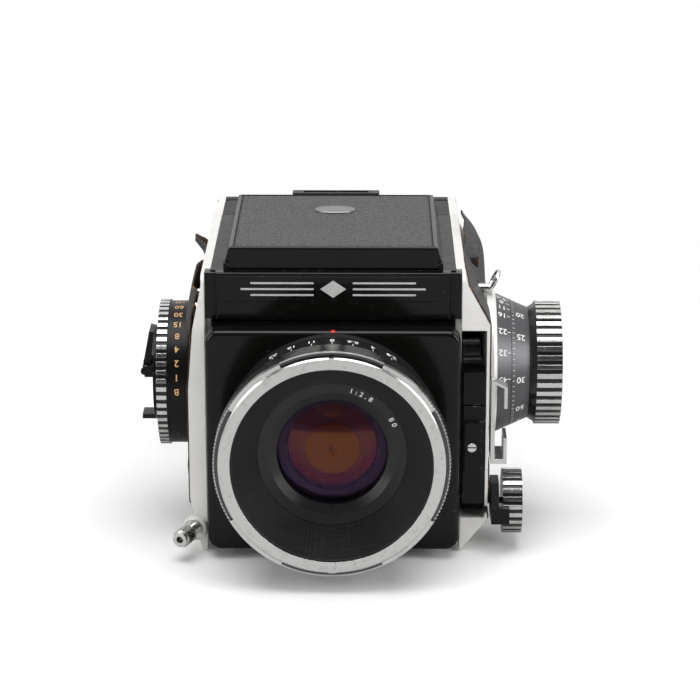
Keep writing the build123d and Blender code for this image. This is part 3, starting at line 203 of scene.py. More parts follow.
def specks(f, spacing_mm, size_mm):
    """Sparse round dots, 1 inside a dot: dust, pits and chips."""
    inputs = {"Vector": f.place, "Scale": 1 / (spacing_mm * MM), "Randomness": 1.0}
    distance = f.add("TexVoronoi", inputs, "Distance")
    wobble = f.noise(size_mm * 0.8)
    size = f.math("MULTIPLY", wobble, 1.6 * size_mm / spacing_mm)
    return f.math("LESS_THAN", distance, f.math("MULTIPLY", size, 0.55))


def painted(name, colour, gloss, worn, wear, grain=0.02, dust=0.0, coat=0.0):
    """Paint on metal: gloss is the roughness, worn the colour that shows on rubbed edges."""
    f = Finish(name)
    patches = f.noise(9.0, 4.0)
    rub = f.math("MULTIPLY", f.edge(0.45), f.between(f.noise(2.2, 5.0, 0.65), 0.62 - wear, 0.70 - wear))
    darker, lighter = tuple(c * 0.86 for c in colour), tuple(c * 1.14 for c in colour)
    shade = f.mix(f.between(patches, 0.3, 0.7), darker, lighter)
    shade = f.mix(rub, shade, worn)
    if dust:
        shade = f.mix(f.math("MULTIPLY", specks(f, 9.0, 0.22), dust), shade, (0.55, 0.55, 0.52))
    rough = f.math("ADD", gloss, f.math("MULTIPLY", f.between(f.noise(4.0, 5.0), 0.35, 0.75), 0.10))
    fine = f.noise(0.35, 2.0)
    normal = f.bump(fine, grain, 0.6, f.soft_edge(0.35))
    f.set(base_color=shade, roughness=rough, normal=normal, specular_ior_level=0.20)
    f.set(coat_weight=coat, coat_roughness=0.06)
    f.set(metallic=f.math("MULTIPLY", rub, 0.8))
    return f


def silver_lacquer():
    """Off-white satin lacquer over light alloy, with fine grain, small pits and grey rubbed edges."""
    f = Finish("satin_silver")
    base = f.mix(f.between(f.noise(14.0, 4.0), 0.3, 0.7), (0.70, 0.69, 0.66), (0.80, 0.79, 0.765))
    grain = f.noise(0.28, 2.0)
    base = f.mix(f.between(grain, 0.25, 0.8), base, (0.86, 0.85, 0.83))
    pits = f.math("MAXIMUM", specks(f, 6.5, 0.42), specks(f, 17.0, 0.8))
    base = f.mix(pits, base, (0.10, 0.09, 0.08))
    rub = f.math("MULTIPLY", f.edge(0.5), f.between(f.noise(1.8, 5.0, 0.7), 0.56, 0.66))
    base = f.mix(rub, base, (0.30, 0.28, 0.25))
    normal = f.bump(grain, 0.03, 0.5, f.soft_edge(0.4))
    f.set(base_color=base, roughness=0.42, metallic=0.30, normal=normal)
    return f


def chrome_look(f, tint=(0.80, 0.795, 0.78), smear=0.18):
    """Polished plating with faint smears; returns the colour socket."""
    stain = f.between(f.noise(3.0, 6.0, 0.7), 0.52, 0.72)
    colour = f.mix(stain, tint, tuple(c * 0.72 for c in tint))
    rough = f.math("ADD", 0.10, f.math("MULTIPLY", f.noise(1.4, 4.0), smear))
    f.set(metallic=1.0, roughness=rough, normal=f.soft_edge(0.25))
    return colour


def bright_chrome():
    f = Finish("bright_chrome")
    grime = f.math("MULTIPLY", specks(f, 4.0, 0.35), 0.85)
    f.set(base_color=f.mix(grime, chrome_look(f), (0.12, 0.10, 0.08)))
    return f


def ridged_chrome(name, centre, along, radius_mm, depth_mm, span=None, smear=0.18):
    """Chrome ridges, black and not metallic in the grooves below the ridge tops; outside the span the piece
    is black.
    """
    f = Finish(name)
    out = f.between(f.reach(centre, along), (radius_mm - depth_mm) * MM, (radius_mm - 0.55 * depth_mm) * MM)
    if span is not None:
        across = f.axes()[along]
        out = f.math("MULTIPLY", out, f.math("GREATER_THAN", across, span[0]))
        out = f.math("MULTIPLY", out, f.math("LESS_THAN", across, span[1]))
    colour = f.mix(out, (0.012, 0.012, 0.012), chrome_look(f, smear=smear))
    f.set(base_color=colour, metallic=out)
    return f


def turned_metal(name, colour, centre, along, pitch_mm, depth_mm, roughness, metallic):
    """Metal turned on a lathe: fine rings about an axis."""
    f = Finish(name)
    reach = f.reach(centre, along)
    wave = f.math("SINE", f.math("MULTIPLY", reach, 2 * pi / (pitch_mm * MM)))
    cloud = f.noise(6.0, 4.0)
    shade = f.mix(cloud, tuple(c * 0.8 for c in colour), tuple(c * 1.2 for c in colour))
    normal = f.bump(wave, depth_mm, 0.7, f.soft_edge(0.2))
    f.set(base_color=shade, roughness=roughness, metallic=metallic, normal=normal)
    return f


def number_band():
    """The aperture ring: a chrome grip in front and a black enamelled band behind it."""
    f = Finish("aperture_ring_plating")
    _, y, _ = f.axes()
    black = f.math("GREATER_THAN", y, GRIP_REAR_Y - 0.02 * MM)
    # painted shade: the chrome turns a dark grey in the bottoms of the grip's grooves
    deep = f.between(f.reach(middle("aperture_ring"), 1), 40.75 * MM, 41.2 * MM)
    chrome = f.mix(deep, (0.10, 0.10, 0.10), chrome_look(f))
    chrome = f.mix(black, chrome, (0.012, 0.012, 0.012))
    f.set(base_color=chrome, metallic=f.math("SUBTRACT", 1.0, black))
    return f


def magazine_paint():
    """The film magazine: silver lacquer along both outer edges, dark satin metal between them."""
    f = silver_lacquer()
    x, _, _ = f.axes()
    between = f.math("LESS_THAN", f.math("ABSOLUTE", x), MAGAZINE_DARK_X)
    cloud = f.noise(5.0, 4.0)
    dark = f.mix(cloud, (0.050, 0.050, 0.050), (0.085, 0.085, 0.083))
    inner = f.add("BsdfGlossy", {"Color": (0.30, 0.30, 0.30), "Roughness": 0.35})
    body = f.add("BsdfDiffuse", {"Color": dark})
    satin = f.add("MixShader", {0: 0.14, 1: body, 2: inner})
    both = f.add("MixShader", {0: between, 1: f.shader.outputs[0], 2: satin})
    f.tree.links.new(both, f.output.inputs[0])
    return f


def baffle_black():
    """The lens barrel: matt black with fine turned rings in its front cone."""
    return turned_metal("barrel_black", (0.012, 0.012, 0.013), middle("front_rim"), 1, 0.49, 0.05, 0.42, 0.1)


def leather(name, raw=False, colour=(0.020, 0.020, 0.021), pebble_mm=0.95):
    """Pebbled imitation leather; a raw one shows brown fibre."""
    f = Finish(name)
    warp = f.noise(3.0, 2.0)
    stretched = f.scaled(1.0, 0.72, 1.0)
    cell = f.cells(pebble_mm, "SMOOTH_F1", stretched)
    crease = f.cells(pebble_mm * 1.7, "DISTANCE_TO_EDGE", stretched)
    height = f.math("SUBTRACT", f.between(crease, 0.0, 0.22), f.math("MULTIPLY", cell, 0.7))
    fine = f.math("MULTIPLY", f.noise(0.22, 2.0), 0.35)
    height = f.math("ADD", height, fine)
    if raw:
        fibre = f.between(f.noise(0.7, 5.0, 0.7), 0.35, 0.7)
        dark = f.mix(fibre, (0.022, 0.014, 0.010), (0.075, 0.040, 0.022))
        glue = f.between(f.noise(3.4, 2.0, 0.5), 0.61, 0.70)
        shade = f.mix(glue, dark, f.mix(fibre, (0.20, 0.055, 0.012), (0.58, 0.24, 0.04)))
        f.set(base_color=shade, roughness=0.85, normal=f.bump(fibre, 0.25, 0.9))
        return f
    # painted shade: the hollows and creases of the pebble grain are darker, the pebble tops up to about twice
    # as light
    light = tuple(c * 2.1 for c in colour)
    shade = f.mix(f.between(height, 0.1, 0.9), colour, light)
    shade = f.mix(f.math("MULTIPLY", warp, 0.25), shade, (0.05, 0.05, 0.052))
    rough = f.math("ADD", 0.42, f.math("MULTIPLY", cell, 0.25))
    f.set(base_color=shade, roughness=rough, normal=f.bump(height, 0.16, 1.0))
    return f


def cloth(name, colour, thread_mm):
    """Rubberised or plain weave cloth."""
    f = Finish(name)
    x, y, z = f.axes()
    turns = 2 * pi / (thread_mm * MM)
    across = f.math("SINE", f.math("MULTIPLY", f.math("ADD", x, z), turns))
    up = f.math("SINE", f.math("MULTIPLY", f.math("SUBTRACT", y, z), turns))
    weave = f.math("MAXIMUM", across, up)
    worn = f.between(f.noise(5.0, 4.0), 0.4, 0.8)
    shade = f.mix(worn, colour, tuple(c * 2.0 + 0.01 for c in colour))
    f.set(base_color=shade, roughness=0.75, normal=f.bump(weave, 0.04, 0.6))
    f.set(sheen_weight=0.2)
    return f


def steel_look(name, colour=(0.52, 0.52, 0.53), roughness=0.28):
    """Ground steel with fine straight scratches."""
    f = Finish(name)
    scratch = f.noise(0.5, 4.0, 0.6, f.scaled(0.06, 1.0, 1.0))
    shade = f.mix(scratch, tuple(c * 0.8 for c in colour), tuple(min(1.0, c * 1.15) for c in colour))
    rough = f.math("ADD", roughness, f.math("MULTIPLY", scratch, 0.12))
    normal = f.bump(scratch, 0.01, 0.4, f.soft_edge(0.15))
    f.set(base_color=shade, metallic=1.0, roughness=rough, normal=normal)
    return f


def glass(name, tint, roughness):
    f = Finish(name)
    haze = f.math("MULTIPLY", f.between(f.noise(8.0, 4.0), 0.55, 0.8), 0.05)
    f.set(base_color=tint, roughness=f.math("ADD", roughness, haze), ior=1.5, transmission_weight=1.0)
    return f


def coated_glass():
    """The lens elements: a clear front one with a violet bloom, amber coated ones behind it, their amber laid
    in bands by height as painted reflections and painted shade.
    """
    f = Finish("lens_glass")
    _, y, z = f.axes()
    low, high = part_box("lens_elements")
    span = (high.z - low.z) / 2
    rise = f.between(z, AXIS_Z - 0.8 * span, AXIS_Z + 0.8 * span)
    lower = f.reach(Vector((0, 0, AXIS_Z + 0.30 * span)), 1)
    upper = f.reach(Vector((0, 0, AXIS_Z + 0.98 * span)), 1)
    # painted reflections: the amber of the inner elements runs in rings about a line above the axis
    amber = f.mix(f.between(lower, 0.74 * span, 0.86 * span), (0.50, 0.20, 0.028), (0.38, 0.060, 0.028))
    # painted shade: above about a third of the way up, the amber turns dark
    amber = f.mix(f.between(rise, 0.66, 0.72), amber, (0.10, 0.026, 0.016))
    # painted highlight: a bright amber glint near the top
    amber = f.mix(f.between(upper, 0.44 * span, 0.38 * span), amber, (0.60, 0.18, 0.030))
    deep = f.add("BsdfGlossy", {"Color": amber, "Roughness": 0.14})
    # painted shade: an opaque dark layer stands for the shade inside the barrel, a little lighter towards the
    # top
    dark = f.add("BsdfDiffuse", {"Color": f.mix(rise, (0.030, 0.006, 0.006), (0.055, 0.016, 0.004))})
    inner = f.add("MixShader", {0: 0.30, 1: dark, 2: deep})
    facing = f.add("LayerWeight", {"Blend": 0.22}, "Facing")
    bloom = f.mix(facing, (0.20, 0.13, 0.30), (0.34, 0.30, 0.62))
    sheen = f.add("BsdfGlossy", {"Color": bloom, "Roughness": 0.02})
    clear = f.add("BsdfTransparent", {"Color": (0.90, 0.84, 0.86)})
    share = f.math("ADD", 0.05, f.math("MULTIPLY", facing, 0.65))
    outer = f.add("MixShader", {0: share, 1: clear, 2: sheen})
    front = f.math("LESS_THAN", y, low.y + 5.9 * MM)
    both = f.add("MixShader", {0: front, 1: inner, 2: outer})
    f.tree.links.new(both, f.output.inputs[0])
    return f


def flat_ink(name, colour):
    """Filled engraving paint with a slightly uneven face."""
    f = Finish(name)
    worn = f.between(f.noise(0.5, 4.0, 0.6), 0.30, 0.62)
    f.set(base_color=f.mix(worn, tuple(c * 0.7 for c in colour), colour), roughness=0.5)
    return f


def gunmetal():
    """Grey anodised rings: satin dark metal with turning marks along the cone."""
    f = Finish("grey_anodised")
    mark = f.noise(0.4, 3.0, 0.6, f.scaled(1.0, 0.05, 0.05))
    cloud = f.noise(7.0, 4.0)
    shade = f.mix(cloud, (0.105, 0.105, 0.112), (0.150, 0.150, 0.156))
    rough = f.math("ADD", 0.34, f.math("MULTIPLY", mark, 0.1))
    f.set(base_color=shade, metallic=0.85, roughness=rough, normal=f.bump(mark, 0.01, 0.5, f.soft_edge(0.2)))
    return f


GREY_WEAR = (0.34, 0.33, 0.31)
FINISHES = {
    "satin_silver": silver_lacquer(),
    "black_enamel": painted(
        "black_enamel", (0.0040, 0.0042, 0.0036), 0.13, GREY_WEAR, 0.02, 0.006, 0.9, 0.15
    ),
    "black_satin": painted("black_satin", (0.006, 0.006, 0.006), 0.27, GREY_WEAR, 0.04, 0.03, 0.5),
    "black_matt": painted("black_matt", (0.013, 0.013, 0.013), 0.62, (0.10, 0.10, 0.10), 0.0, 0.05),
    "bright_chrome": bright_chrome(),
    "steel": steel_look("steel"),
    "iris_steel": steel_look("iris_steel", (0.08, 0.08, 0.085), 0.4),
    "brass": steel_look("brass", (0.72, 0.50, 0.20), 0.3),
    "grey_anodised": gunmetal(),
    "clear_glass": glass("clear_glass", (0.92, 0.95, 0.94), 0.02),
    "mirror_silver": steel_look("mirror_silver", (0.85, 0.86, 0.87), 0.02),
    "curtain_cloth": cloth("curtain_cloth", (0.012, 0.012, 0.013), 0.5),
    "bellows_cloth": cloth("bellows_cloth", (0.014, 0.014, 0.014), 0.7),
    "spool_plastic": painted("spool_plastic", (0.035, 0.034, 0.033), 0.34, (0.10, 0.10, 0.10), 0.0, 0.02),
    "leatherette": leather("leatherette"),
    "lens_glass": coated_glass(),
}
BY_NODE = {
    "aperture_ring": number_band(),
    "lens_barrel": baffle_black(),
    "name_ring": turned_metal(
        "name_ring_black", (0.014, 0.014, 0.015), middle("front_rim"), 1, 0.3, 0.01, 0.26, 0.2
    ),
    "iris_blades": FINISHES["iris_steel"],
    "focus_knob": ridged_chrome(
        "focus_knob_plating", KNOB, 0, 22.85, 0.9, (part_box("focus_knob")[0].x + 2.6 * MM, 1.0)
    ),
    "tilt_knob": ridged_chrome("tilt_knob_plating", TILT, 0, 11.9, 0.8),
    "magazine_shell": magazine_paint(),
    "magazine_door": magazine_paint(),
    "dial_grip": ridged_chrome("dial_grip_plating", DIAL, 0, 27.0, 0.8),
}
RAW_LEATHER = leather("leather_fibre", raw=True)
# painted light: the lid's leatherette is a lighter copy of the side leatherette, brighter on this top face
LID_LEATHER = leather("lid_leatherette", colour=(0.030, 0.030, 0.031))
WHITE_INK = flat_ink("white_ink", (0.86, 0.86, 0.83))
GOLD_INK = flat_ink("gold_ink", (0.80, 0.47, 0.20))
BADGE_STEEL = steel_look("badge_steel", (0.30, 0.30, 0.31), 0.30)
ORNAMENT = flat_ink("ornament_silver", (0.52, 0.52, 0.51))
RED_INK = flat_ink("red_ink", (0.72, 0.015, 0.012))

for node, piece in frame["nodes"].items():
    finish = BY_NODE.get(node) or FINISHES[node_slot[node]]
    piece.data.materials.clear()
    piece.data.materials.append(finish.material)


# ---- mesh building --------------------------------------------------------------------------
def add_piece(name, mesh, body, slot, *finishes):
    """Puts a mesh in the scene, riding on a CAD body."""
    piece = bpy.data.objects.new(name, mesh)
    bpy.context.scene.collection.objects.link(piece)
    for finish in finishes:
        mesh.materials.append(finish.material)
    if body is not None:
        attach(piece, body)
    return piece


def mesh_from(name, work):
    """Turns a bmesh into a smooth mesh and frees it."""
    bmesh.ops.recalc_face_normals(work, faces=work.faces)
    mesh = bpy.data.meshes.new(name)
    work.to_mesh(mesh)
    work.free()
    mesh.polygons.foreach_set("use_smooth", [True] * len(mesh.polygons))
    return mesh


def sheet_mesh(name, outline, holes, step, place, thickness, edge_finish=1, flip=False):
    """A sheet with holes: the flat outline is filled with triangles, shaped by place(u, v) -> point,
    and given a thickness inwards. Side and back faces take the second material. flip turns the
    faces over, for a sheet whose outside is seen with u running from right to left."""
    rings = [outline, *holes]
    points, edges = [], []
    for ring in rings:
        first = len(points)
        points += [Vector(p) for p in ring]
        edges += [(first + i, first + (i + 1) % len(ring)) for i in range(len(ring))]
    low_u, high_u = min(p[0] for p in outline), max(p[0] for p in outline)
    low_v, high_v = min(p[1] for p in outline), max(p[1] for p in outline)
    for i in range(1, int((high_u - low_u) / step)):
        for j in range(1, int((high_v - low_v) / step)):
            spot = (low_u + i * step, low_v + j * step)
            clear = min(distance_to_ring(spot, ring) for ring in rings)
            if clear > 0.45 * step and inside(spot, outline) and not any(inside(spot, h) for h in holes):
                points.append(Vector(spot))
    flat, _, faces, *_ = delaunay_2d_cdt(points, edges, [], 1, 1e-7)
    work = bmesh.new()
    verts = [work.verts.new(place(p.x, p.y)) for p in flat]
    for face in faces:
        centre = sum((flat[i] for i in face), Vector((0, 0))) / len(face)
        if inside(centre, outline) and not any(inside(centre, hole) for hole in holes):
            work.faces.new([verts[i] for i in (face[::-1] if flip else face)])
    bmesh.ops.delete(work, geom=[v for v in work.verts if not v.link_faces], context="VERTS")
    return thickened(name, work, thickness, edge_finish)


def thickened(name, work, thickness, edge_finish):
    """Adds the second face and the rim to a one-sided sheet."""
    work.normal_update()
    top = list(work.faces)
    rim = [e for e in work.edges if e.is_boundary]
    lower = {v: work.verts.new(v.co - v.normal * thickness) for v in list(work.verts)}
    for face in top:
        made = work.faces.new([lower[v] for v in reversed(face.verts)])
        made.material_index = edge_finish
    for edge in rim:
        face = edge.link_faces[0]
        a, b = next((l.vert, l.link_loop_next.vert) for l in face.loops if l.edge == edge)
        made = work.faces.new([b, a, lower[a], lower[b]])
        made.material_index = edge_finish
    return mesh_from(name, work)


def inside(point, ring):
    """True if a flat point lies in a closed ring of points."""
    x, y = point[0], point[1]
    hit = False
    for (ax, ay), (bx, by) in zip(ring, [*ring[1:], ring[0]]):
        if (ay > y) != (by > y) and x < ax + (y - ay) * (bx - ax) / (by - ay):
            hit = not hit
    return hit


def distance_to_ring(point, ring):
    return min(hypot(point[0] - p[0], point[1] - p[1]) for p in ring)


def circle(u, v, radius, count=40):
    turns = [2 * pi * i / count for i in range(count)]
    return [(u + radius * cos(turn), v + radius * sin(turn)) for turn in turns]


def ragged(ring, depth, seed):
    """Pushes the points of a ring about a little, as if torn."""
    torn = []
    for u, v in ring:
        shift = noise.noise_vector(Vector((u * 700, v * 700, seed)))
        torn.append((u + depth * shift.x, v + depth * shift.y))
    return torn


def dense(corners, step):
    """A closed ring with points every step along its straight sides."""
    ring = []
    for (au, av), (bu, bv) in zip(corners, [*corners[1:], corners[0]]):
        count = max(1, round(hypot(bu - au, bv - av) / step))
        ring += [(au + (bu - au) * i / count, av + (bv - av) * i / count) for i in range(count)]
    return ring


# ---- lettering: numbers only ----------------------------------------------------------------
def flat_text(words, height):
    """A number as a flat mesh about (0, 0), a little thick."""
    curve = bpy.data.curves.new("number", "FONT")
    curve.body = words
    curve.size = height * 1.38
    curve.align_x = "CENTER"
    curve.align_y = "CENTER"
    curve.resolution_u = 4
    curve.extrude = 0.03 * MM
    curve.offset = 0.012 * height
    holder = bpy.data.objects.new("number", curve)
    bpy.context.scene.collection.objects.link(holder)
    bpy.context.view_layer.update()
    mesh = bpy.data.meshes.new_from_object(holder.evaluated_get(bpy.context.evaluated_depsgraph_get()))
    bpy.data.objects.remove(holder)
    bpy.data.curves.remove(curve)
    return mesh


def marks(name, labels, ticks, body, slot, finish):
    """Numbers and tick lines in one piece. A label is (words, height, place) and a tick is
    (u0, u1, v0, v1, place), where place(u, v, w) wraps flat sizes onto a surface."""
    work = bmesh.new()
    for words, height, place in labels:
        mesh = flat_text(words, height)
        known = len(work.verts)
        work.from_mesh(mesh)
        work.verts.ensure_lookup_table()
        for vert in work.verts[known:]:
            vert.co = place(*vert.co)
        bpy.data.meshes.remove(mesh)
    lift = 0.03 * MM
    for u0, u1, v0, v1, place in ticks:
        corners = [(u, v, w) for w in (-lift, lift) for u, v in ((u0, v0), (u1, v0), (u1, v1), (u0, v1))]
        vert = [work.verts.new(place(*corner)) for corner in corners]
        for quad in ((0, 1, 2, 3), (7, 6, 5, 4), (0, 4, 5, 1), (1, 5, 6, 2), (2, 6, 7, 3), (3, 7, 4, 0)):
            work.faces.new([vert[i] for i in quad])
    mesh = mesh_from(name, work)
    mesh.polygons.foreach_set("use_smooth", [False] * len(mesh.polygons))
    return add_piece(name, mesh, body, slot, finish)


def on_cross_axis(centre, x, angle, radius_at):
    """Wraps onto a surface turned about an X axis; angle 0 faces the front and grows upwards.
    The writing is read from behind the camera, so it is upside down from the front."""

    def place(u, v, w):
        across = x - u
        reach = radius_at(across) + w
        turn = angle - v / radius_at(x)
        return Vector((across, centre.y - reach * cos(turn), centre.z + reach * sin(turn)))

    return place


def on_band(y, angle, radius):
    """Wraps onto the aperture band; angle 0 is its top and grows towards +X."""

    def place(u, v, w):
        turn = angle - u / radius
        reach = radius + w
        return Vector((reach * sin(turn), y - v, AXIS_Z + reach * cos(turn)))

    return place


def on_name_ring(angle, radius, face_y):
    """Wraps round the ring about the front glass, with the tops of the digits outwards."""

    def place(u, v, w):
        reach = radius + v
        turn = angle + u / radius
        return Vector((reach * sin(turn), face_y(reach) - w, AXIS_Z + reach * cos(turn)))

    return place


# depth of field ring and distance ring: two parts of one cone
cone_low, cone_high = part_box("depth_scale_ring")
ring_low, ring_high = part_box("distance_ring")
CONE_R = (cone_high.z - cone_low.z) / 2
CONE_END_R = 20.5 * MM
CONE_LENGTH = ring_high.x - cone_low.x


def cone_radius(x):
    return CONE_R + (CONE_END_R - CONE_R) * (x - cone_low.x) / CONE_LENGTH


scale_x = cone_low.x + 2.1 * MM
STOPS = (
    (2.8, 0.0), (4, 7.0), (5.6, 14.0), (8, 22.0), (11, 31.0), (16, 41.0), (22, 58.0), (32, 77.0), (45, 100.0),
)
INDEX_TURN = 102.5  # the focus index faces up and back, where the photographer reads it
labels, ticks = [], []
for side in SIDES:
    for stop, swing in STOPS:
        turn = radians(INDEX_TURN + side * swing)
        if swing > 10:
            words = f"{stop:g}"
            labels.append((words, 2.3 * MM, on_cross_axis(KNOB, scale_x, turn, cone_radius)))
        spot = on_cross_axis(KNOB, cone_low.x + 4.4 * MM, turn, cone_radius)
        ticks.append((-0.6 * MM, 0.6 * MM, -0.12 * MM, 0.12 * MM, spot))
marks("depth_scale_numbers", labels, ticks, "root", "grey_anodised", WHITE_INK)

scale_x = ring_low.x + 3.4 * MM
FEET = {
    "3": 300.0, "3.5": 276.0, "4": 252.0, "5": 222.0, "6": 194.0, "8": 166.0, "10": 138.0, "15": 102.0,
    "20": 68.8, "25": 42.0, "30": 0.5, "50": -32.0,
}
labels = []
for feet, turn in FEET.items():
    labels.append((feet, 2.3 * MM, on_cross_axis(KNOB, scale_x, radians(turn), cone_radius)))
ticks = []
for number in range(61):
    turn = radians(-60 + 5 * number)
    spot = on_cross_axis(KNOB, ring_low.x + 0.7 * MM, turn, cone_radius)
    ticks.append((-0.45 * MM, 0.45 * MM, -0.07 * MM, 0.07 * MM, spot))
marks("distance_numbers", labels, ticks, "focus_knob", "grey_anodised", WHITE_INK)

# speed dial
drum_low, drum_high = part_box("speed_dial")
DRUM_R = (drum_high.z - drum_low.z) / 2
SPEEDS = ("B", "1", "2", "4", "8", "15", "30", "60", "125", "250", "500", "1000")
labels = []
for number, speed in enumerate(SPEEDS):
    turn = radians(1.2 + 11.4 * number)
    spot = on_cross_axis(DIAL, middle("speed_dial").x - 0.2 * MM, turn, lambda x: DRUM_R)
    labels.append((speed, (2.5 if len(speed) < 3 else 1.9) * MM, spot))
marks("speed_numbers", labels, [], "speed_dial", "black_satin", GOLD_INK)

# aperture numbers, with a line in front of each
APERTURES = ("22", "16", "11", "8", "5.6", "4", "2.8")
labels, ticks = [], []
for number, stop in enumerate(APERTURES):
    turn = radians(10.5 * (number - 3))
    labels.append((stop, 2.5 * MM, on_band(GRIP_REAR_Y + 10.1 * MM, turn, BAND_R)))
    ticks.append((-0.12 * MM, 0.12 * MM, -1.0 * MM, 1.0 * MM, on_band(GRIP_REAR_Y + 6.9 * MM, turn, BAND_R)))
marks("aperture_numbers", labels, ticks, "aperture_ring", "bright_chrome", WHITE_INK)

# lens data on the ring about the front glass
name_low, name_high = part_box("name_ring")
NAME_R = (name_high.z - name_low.z) / 2


def name_face(reach):
    """The ring's face: it falls back by 0.9 mm over its outer 3.7 mm."""
    return name_low.y + 0.9 * MM * (NAME_R - reach) / (3.7 * MM)


labels = []
for words, start, spacing in (("1:2.8", 16, 4.4), ("80", 58, 5.2)):
    for number, letter in enumerate(words):
        spot = on_name_ring(radians(start + spacing * number), 24.3 * MM, name_face)
        labels.append((letter, 1.9 * MM, spot))
marks("lens_numbers", labels, [], "standard", "black_matt", WHITE_INK)


# ---- soft goods: leather sheets -------------------------------------------------------------
def smooth(value, low, high):
    """0 below low, 1 above high, with a soft change between."""
    t = min(1.0, max(0.0, (value - low) / (high - low)))
    return t * t * (3 - 2 * t)


def pebble(point, depth, grain_mm=1.1):
    """A small height that follows the leather's grain."""
    return depth * noise.noise(point / (grain_mm * MM))


class Profile:
    """A bent line of (x, z) points; at(v) gives the point and the outward normal at a length."""

    def __init__(self, points, side):
        self.points = [Vector((x * MM, z * MM)) for x, z in points]
        self.side = side
        self.starts = [0.0]
        for a, b in zip(self.points, self.points[1:]):
            self.starts.append(self.starts[-1] + (b - a).length)

    def segment(self, v):
        number = 0
        while number < len(self.points) - 2 and v > self.starts[number + 1]:
            number += 1
        return number

    def normal_of(self, number):
        along = (self.points[number + 1] - self.points[number]).normalized()
        return Vector((along.y, -along.x)) * self.side

    def at(self, v):
        number = self.segment(v)
        a, b = self.points[number], self.points[number + 1]
        along = (b - a).normalized()
        normal = self.normal_of(number)
        for corner in range(1, len(self.points) - 1):
            share = smooth(v, self.starts[corner] - 1.5 * MM, self.starts[corner] + 1.5 * MM)
            if 0 < share < 1:
                normal = self.normal_of(corner - 1).lerp(self.normal_of(corner), share).normalized()
        return a + along * (v - self.starts[number]), normal

    def length_at(self, z):
        """The length along the line where it reaches a height, past its end if need be."""
        for number, (a, b) in enumerate(zip(self.points, self.points[1:])):
            if z <= b.y or number == len(self.points) - 2:
                return self.starts[number] + (z - a.y) / (b.y - a.y) * (b - a).length


LEATHER_MM = 0.55
side_low, side_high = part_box("side_leather")
FRONT, REAR = side_low.y, side_high.y


def side_sheet(name, profile, corners, holes, lift):
    """One side's leather: corners and holes are (y, z) in the frame, lift(y, z) stands it off."""

    def flat(ring):
        return [(y, profile.length_at(z)) for y, z in ring]

    def place(y, v):
        point, normal = profile.at(v)
        away = (0.07 + LEATHER_MM) * MM + lift(y, point.y)
        spot = Vector((point.x + normal.x * away, y, point.y + normal.y * away))
        return spot + Vector((normal.x, 0, normal.y)) * pebble(spot, 0.05 * MM)

    outline = flat(corners)
    holes = [flat(hole) for hole in holes]
    flip = profile.side < 0
    mesh = sheet_mesh(name, outline, holes, 1.6 * MM, place, LEATHER_MM * MM, flip=flip)
    piece = add_piece(name, mesh, "root", "leatherette", FINISHES["leatherette"], RAW_LEATHER)
    return piece


def right_lift(y, z):
    """The upper right leather has come away from the slope towards the rear."""
    up = max(0.0, (z - 86.5 * MM) / (14.3 * MM))
    rise = 4.6 * smooth(y, -8 * MM, 19 * MM) - 0.9 * smooth(y, 24 * MM, 40 * MM)
    ripple = 0.35 * sin(y / (3.1 * MM)) * smooth(y, -43 * MM, 0)
    return (rise + ripple * min(1.0, up)) * sin(min(1.2, up) * 0.62 * pi) * MM


def left_lift(y, z):
    """The left leather bulges beside the speed dial and ends in a curled tip further back."""
    bulge = 2.7 * smooth(y, -47 * MM, -36 * MM) * (1 - smooth(y, -12 * MM, 6 * MM))
    bulge *= smooth(z, 77 * MM, 88 * MM)
    tip = 6.2 * 2.718 ** -(((y - 27 * MM) / (3.4 * MM)) ** 2) * smooth(z, 89 * MM, 99 * MM) ** 2
    ripple = 0.25 * sin(z / (2.3 * MM)) * (1 - smooth(y, -42 * MM, -36 * MM))
    return (bulge + tip + max(0.0, ripple)) * MM


def corner_ring(corners):
    """A closed ring through (y, z) corners in mm, with points close together."""
    return dense([(y * MM, z * MM) for y, z in corners], 1.6 * MM)


def torn_edge(z_of, seed, count=36):
    """The torn upper edge from the rear to the front, in mm; z_of takes y in mm."""
    low, high = FRONT / MM, REAR / MM
    edge = []
    for i in range(count + 1):
        y = high + (low - high) * i / count
        edge.append((y, z_of(y) + 0.45 * noise.noise(Vector((y * 0.6, seed, 0)))))
    return edge


shoe_low, shoe_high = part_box("accessory_shoe")
shoe_rear = shoe_high.y / MM + 0.6
shoe_top = shoe_high.z / MM + 0.3
shoe_foot = shoe_low.z / MM - 0.3
front, rear = FRONT / MM, REAR / MM
right_outline = [
    *torn_edge(lambda y: 100.9 + 2.3 * smooth(y, -40, -4) + 2.6 * smooth(y, 2, 14), 1),
    (front, shoe_top), (shoe_rear, shoe_top), (shoe_rear, shoe_foot), (front, shoe_foot),
    (front, 19.6), (-31.9, 19.6), (-31.9, 13.4), (front, 13.4), (front, 11.4), (rear, 11.4),
]
tear = ragged(corner_ring([(-1.5, 99.3), (-2.5, 97.3), (1.0, 93.9), (7.0, 95.9)]), 0.5 * MM, 2)
right_holes = [
    circle(KNOB.y, KNOB.z, 27.4 * MM, 90), circle(-15 * MM, 92 * MM, 2.4 * MM, 20), tear,
]
right_profile = Profile([(55.0, 11.36), (56.1, 12.7), (56.1, 86.5), (47.2, 102.8)], 1)
side_sheet("right_leather", right_profile, corner_ring(right_outline), right_holes, right_lift)

DIAL_HOLE_R = 25.5 * MM


def left_edge(y):
    """The left sheet's torn upper edge: low above the dial, with a tip further back."""
    return 98.6 - 1.6 * smooth(y, -6, 8) + 2.6 * smooth(y, 20, 27) - 3.2 * smooth(y, 28, 33)


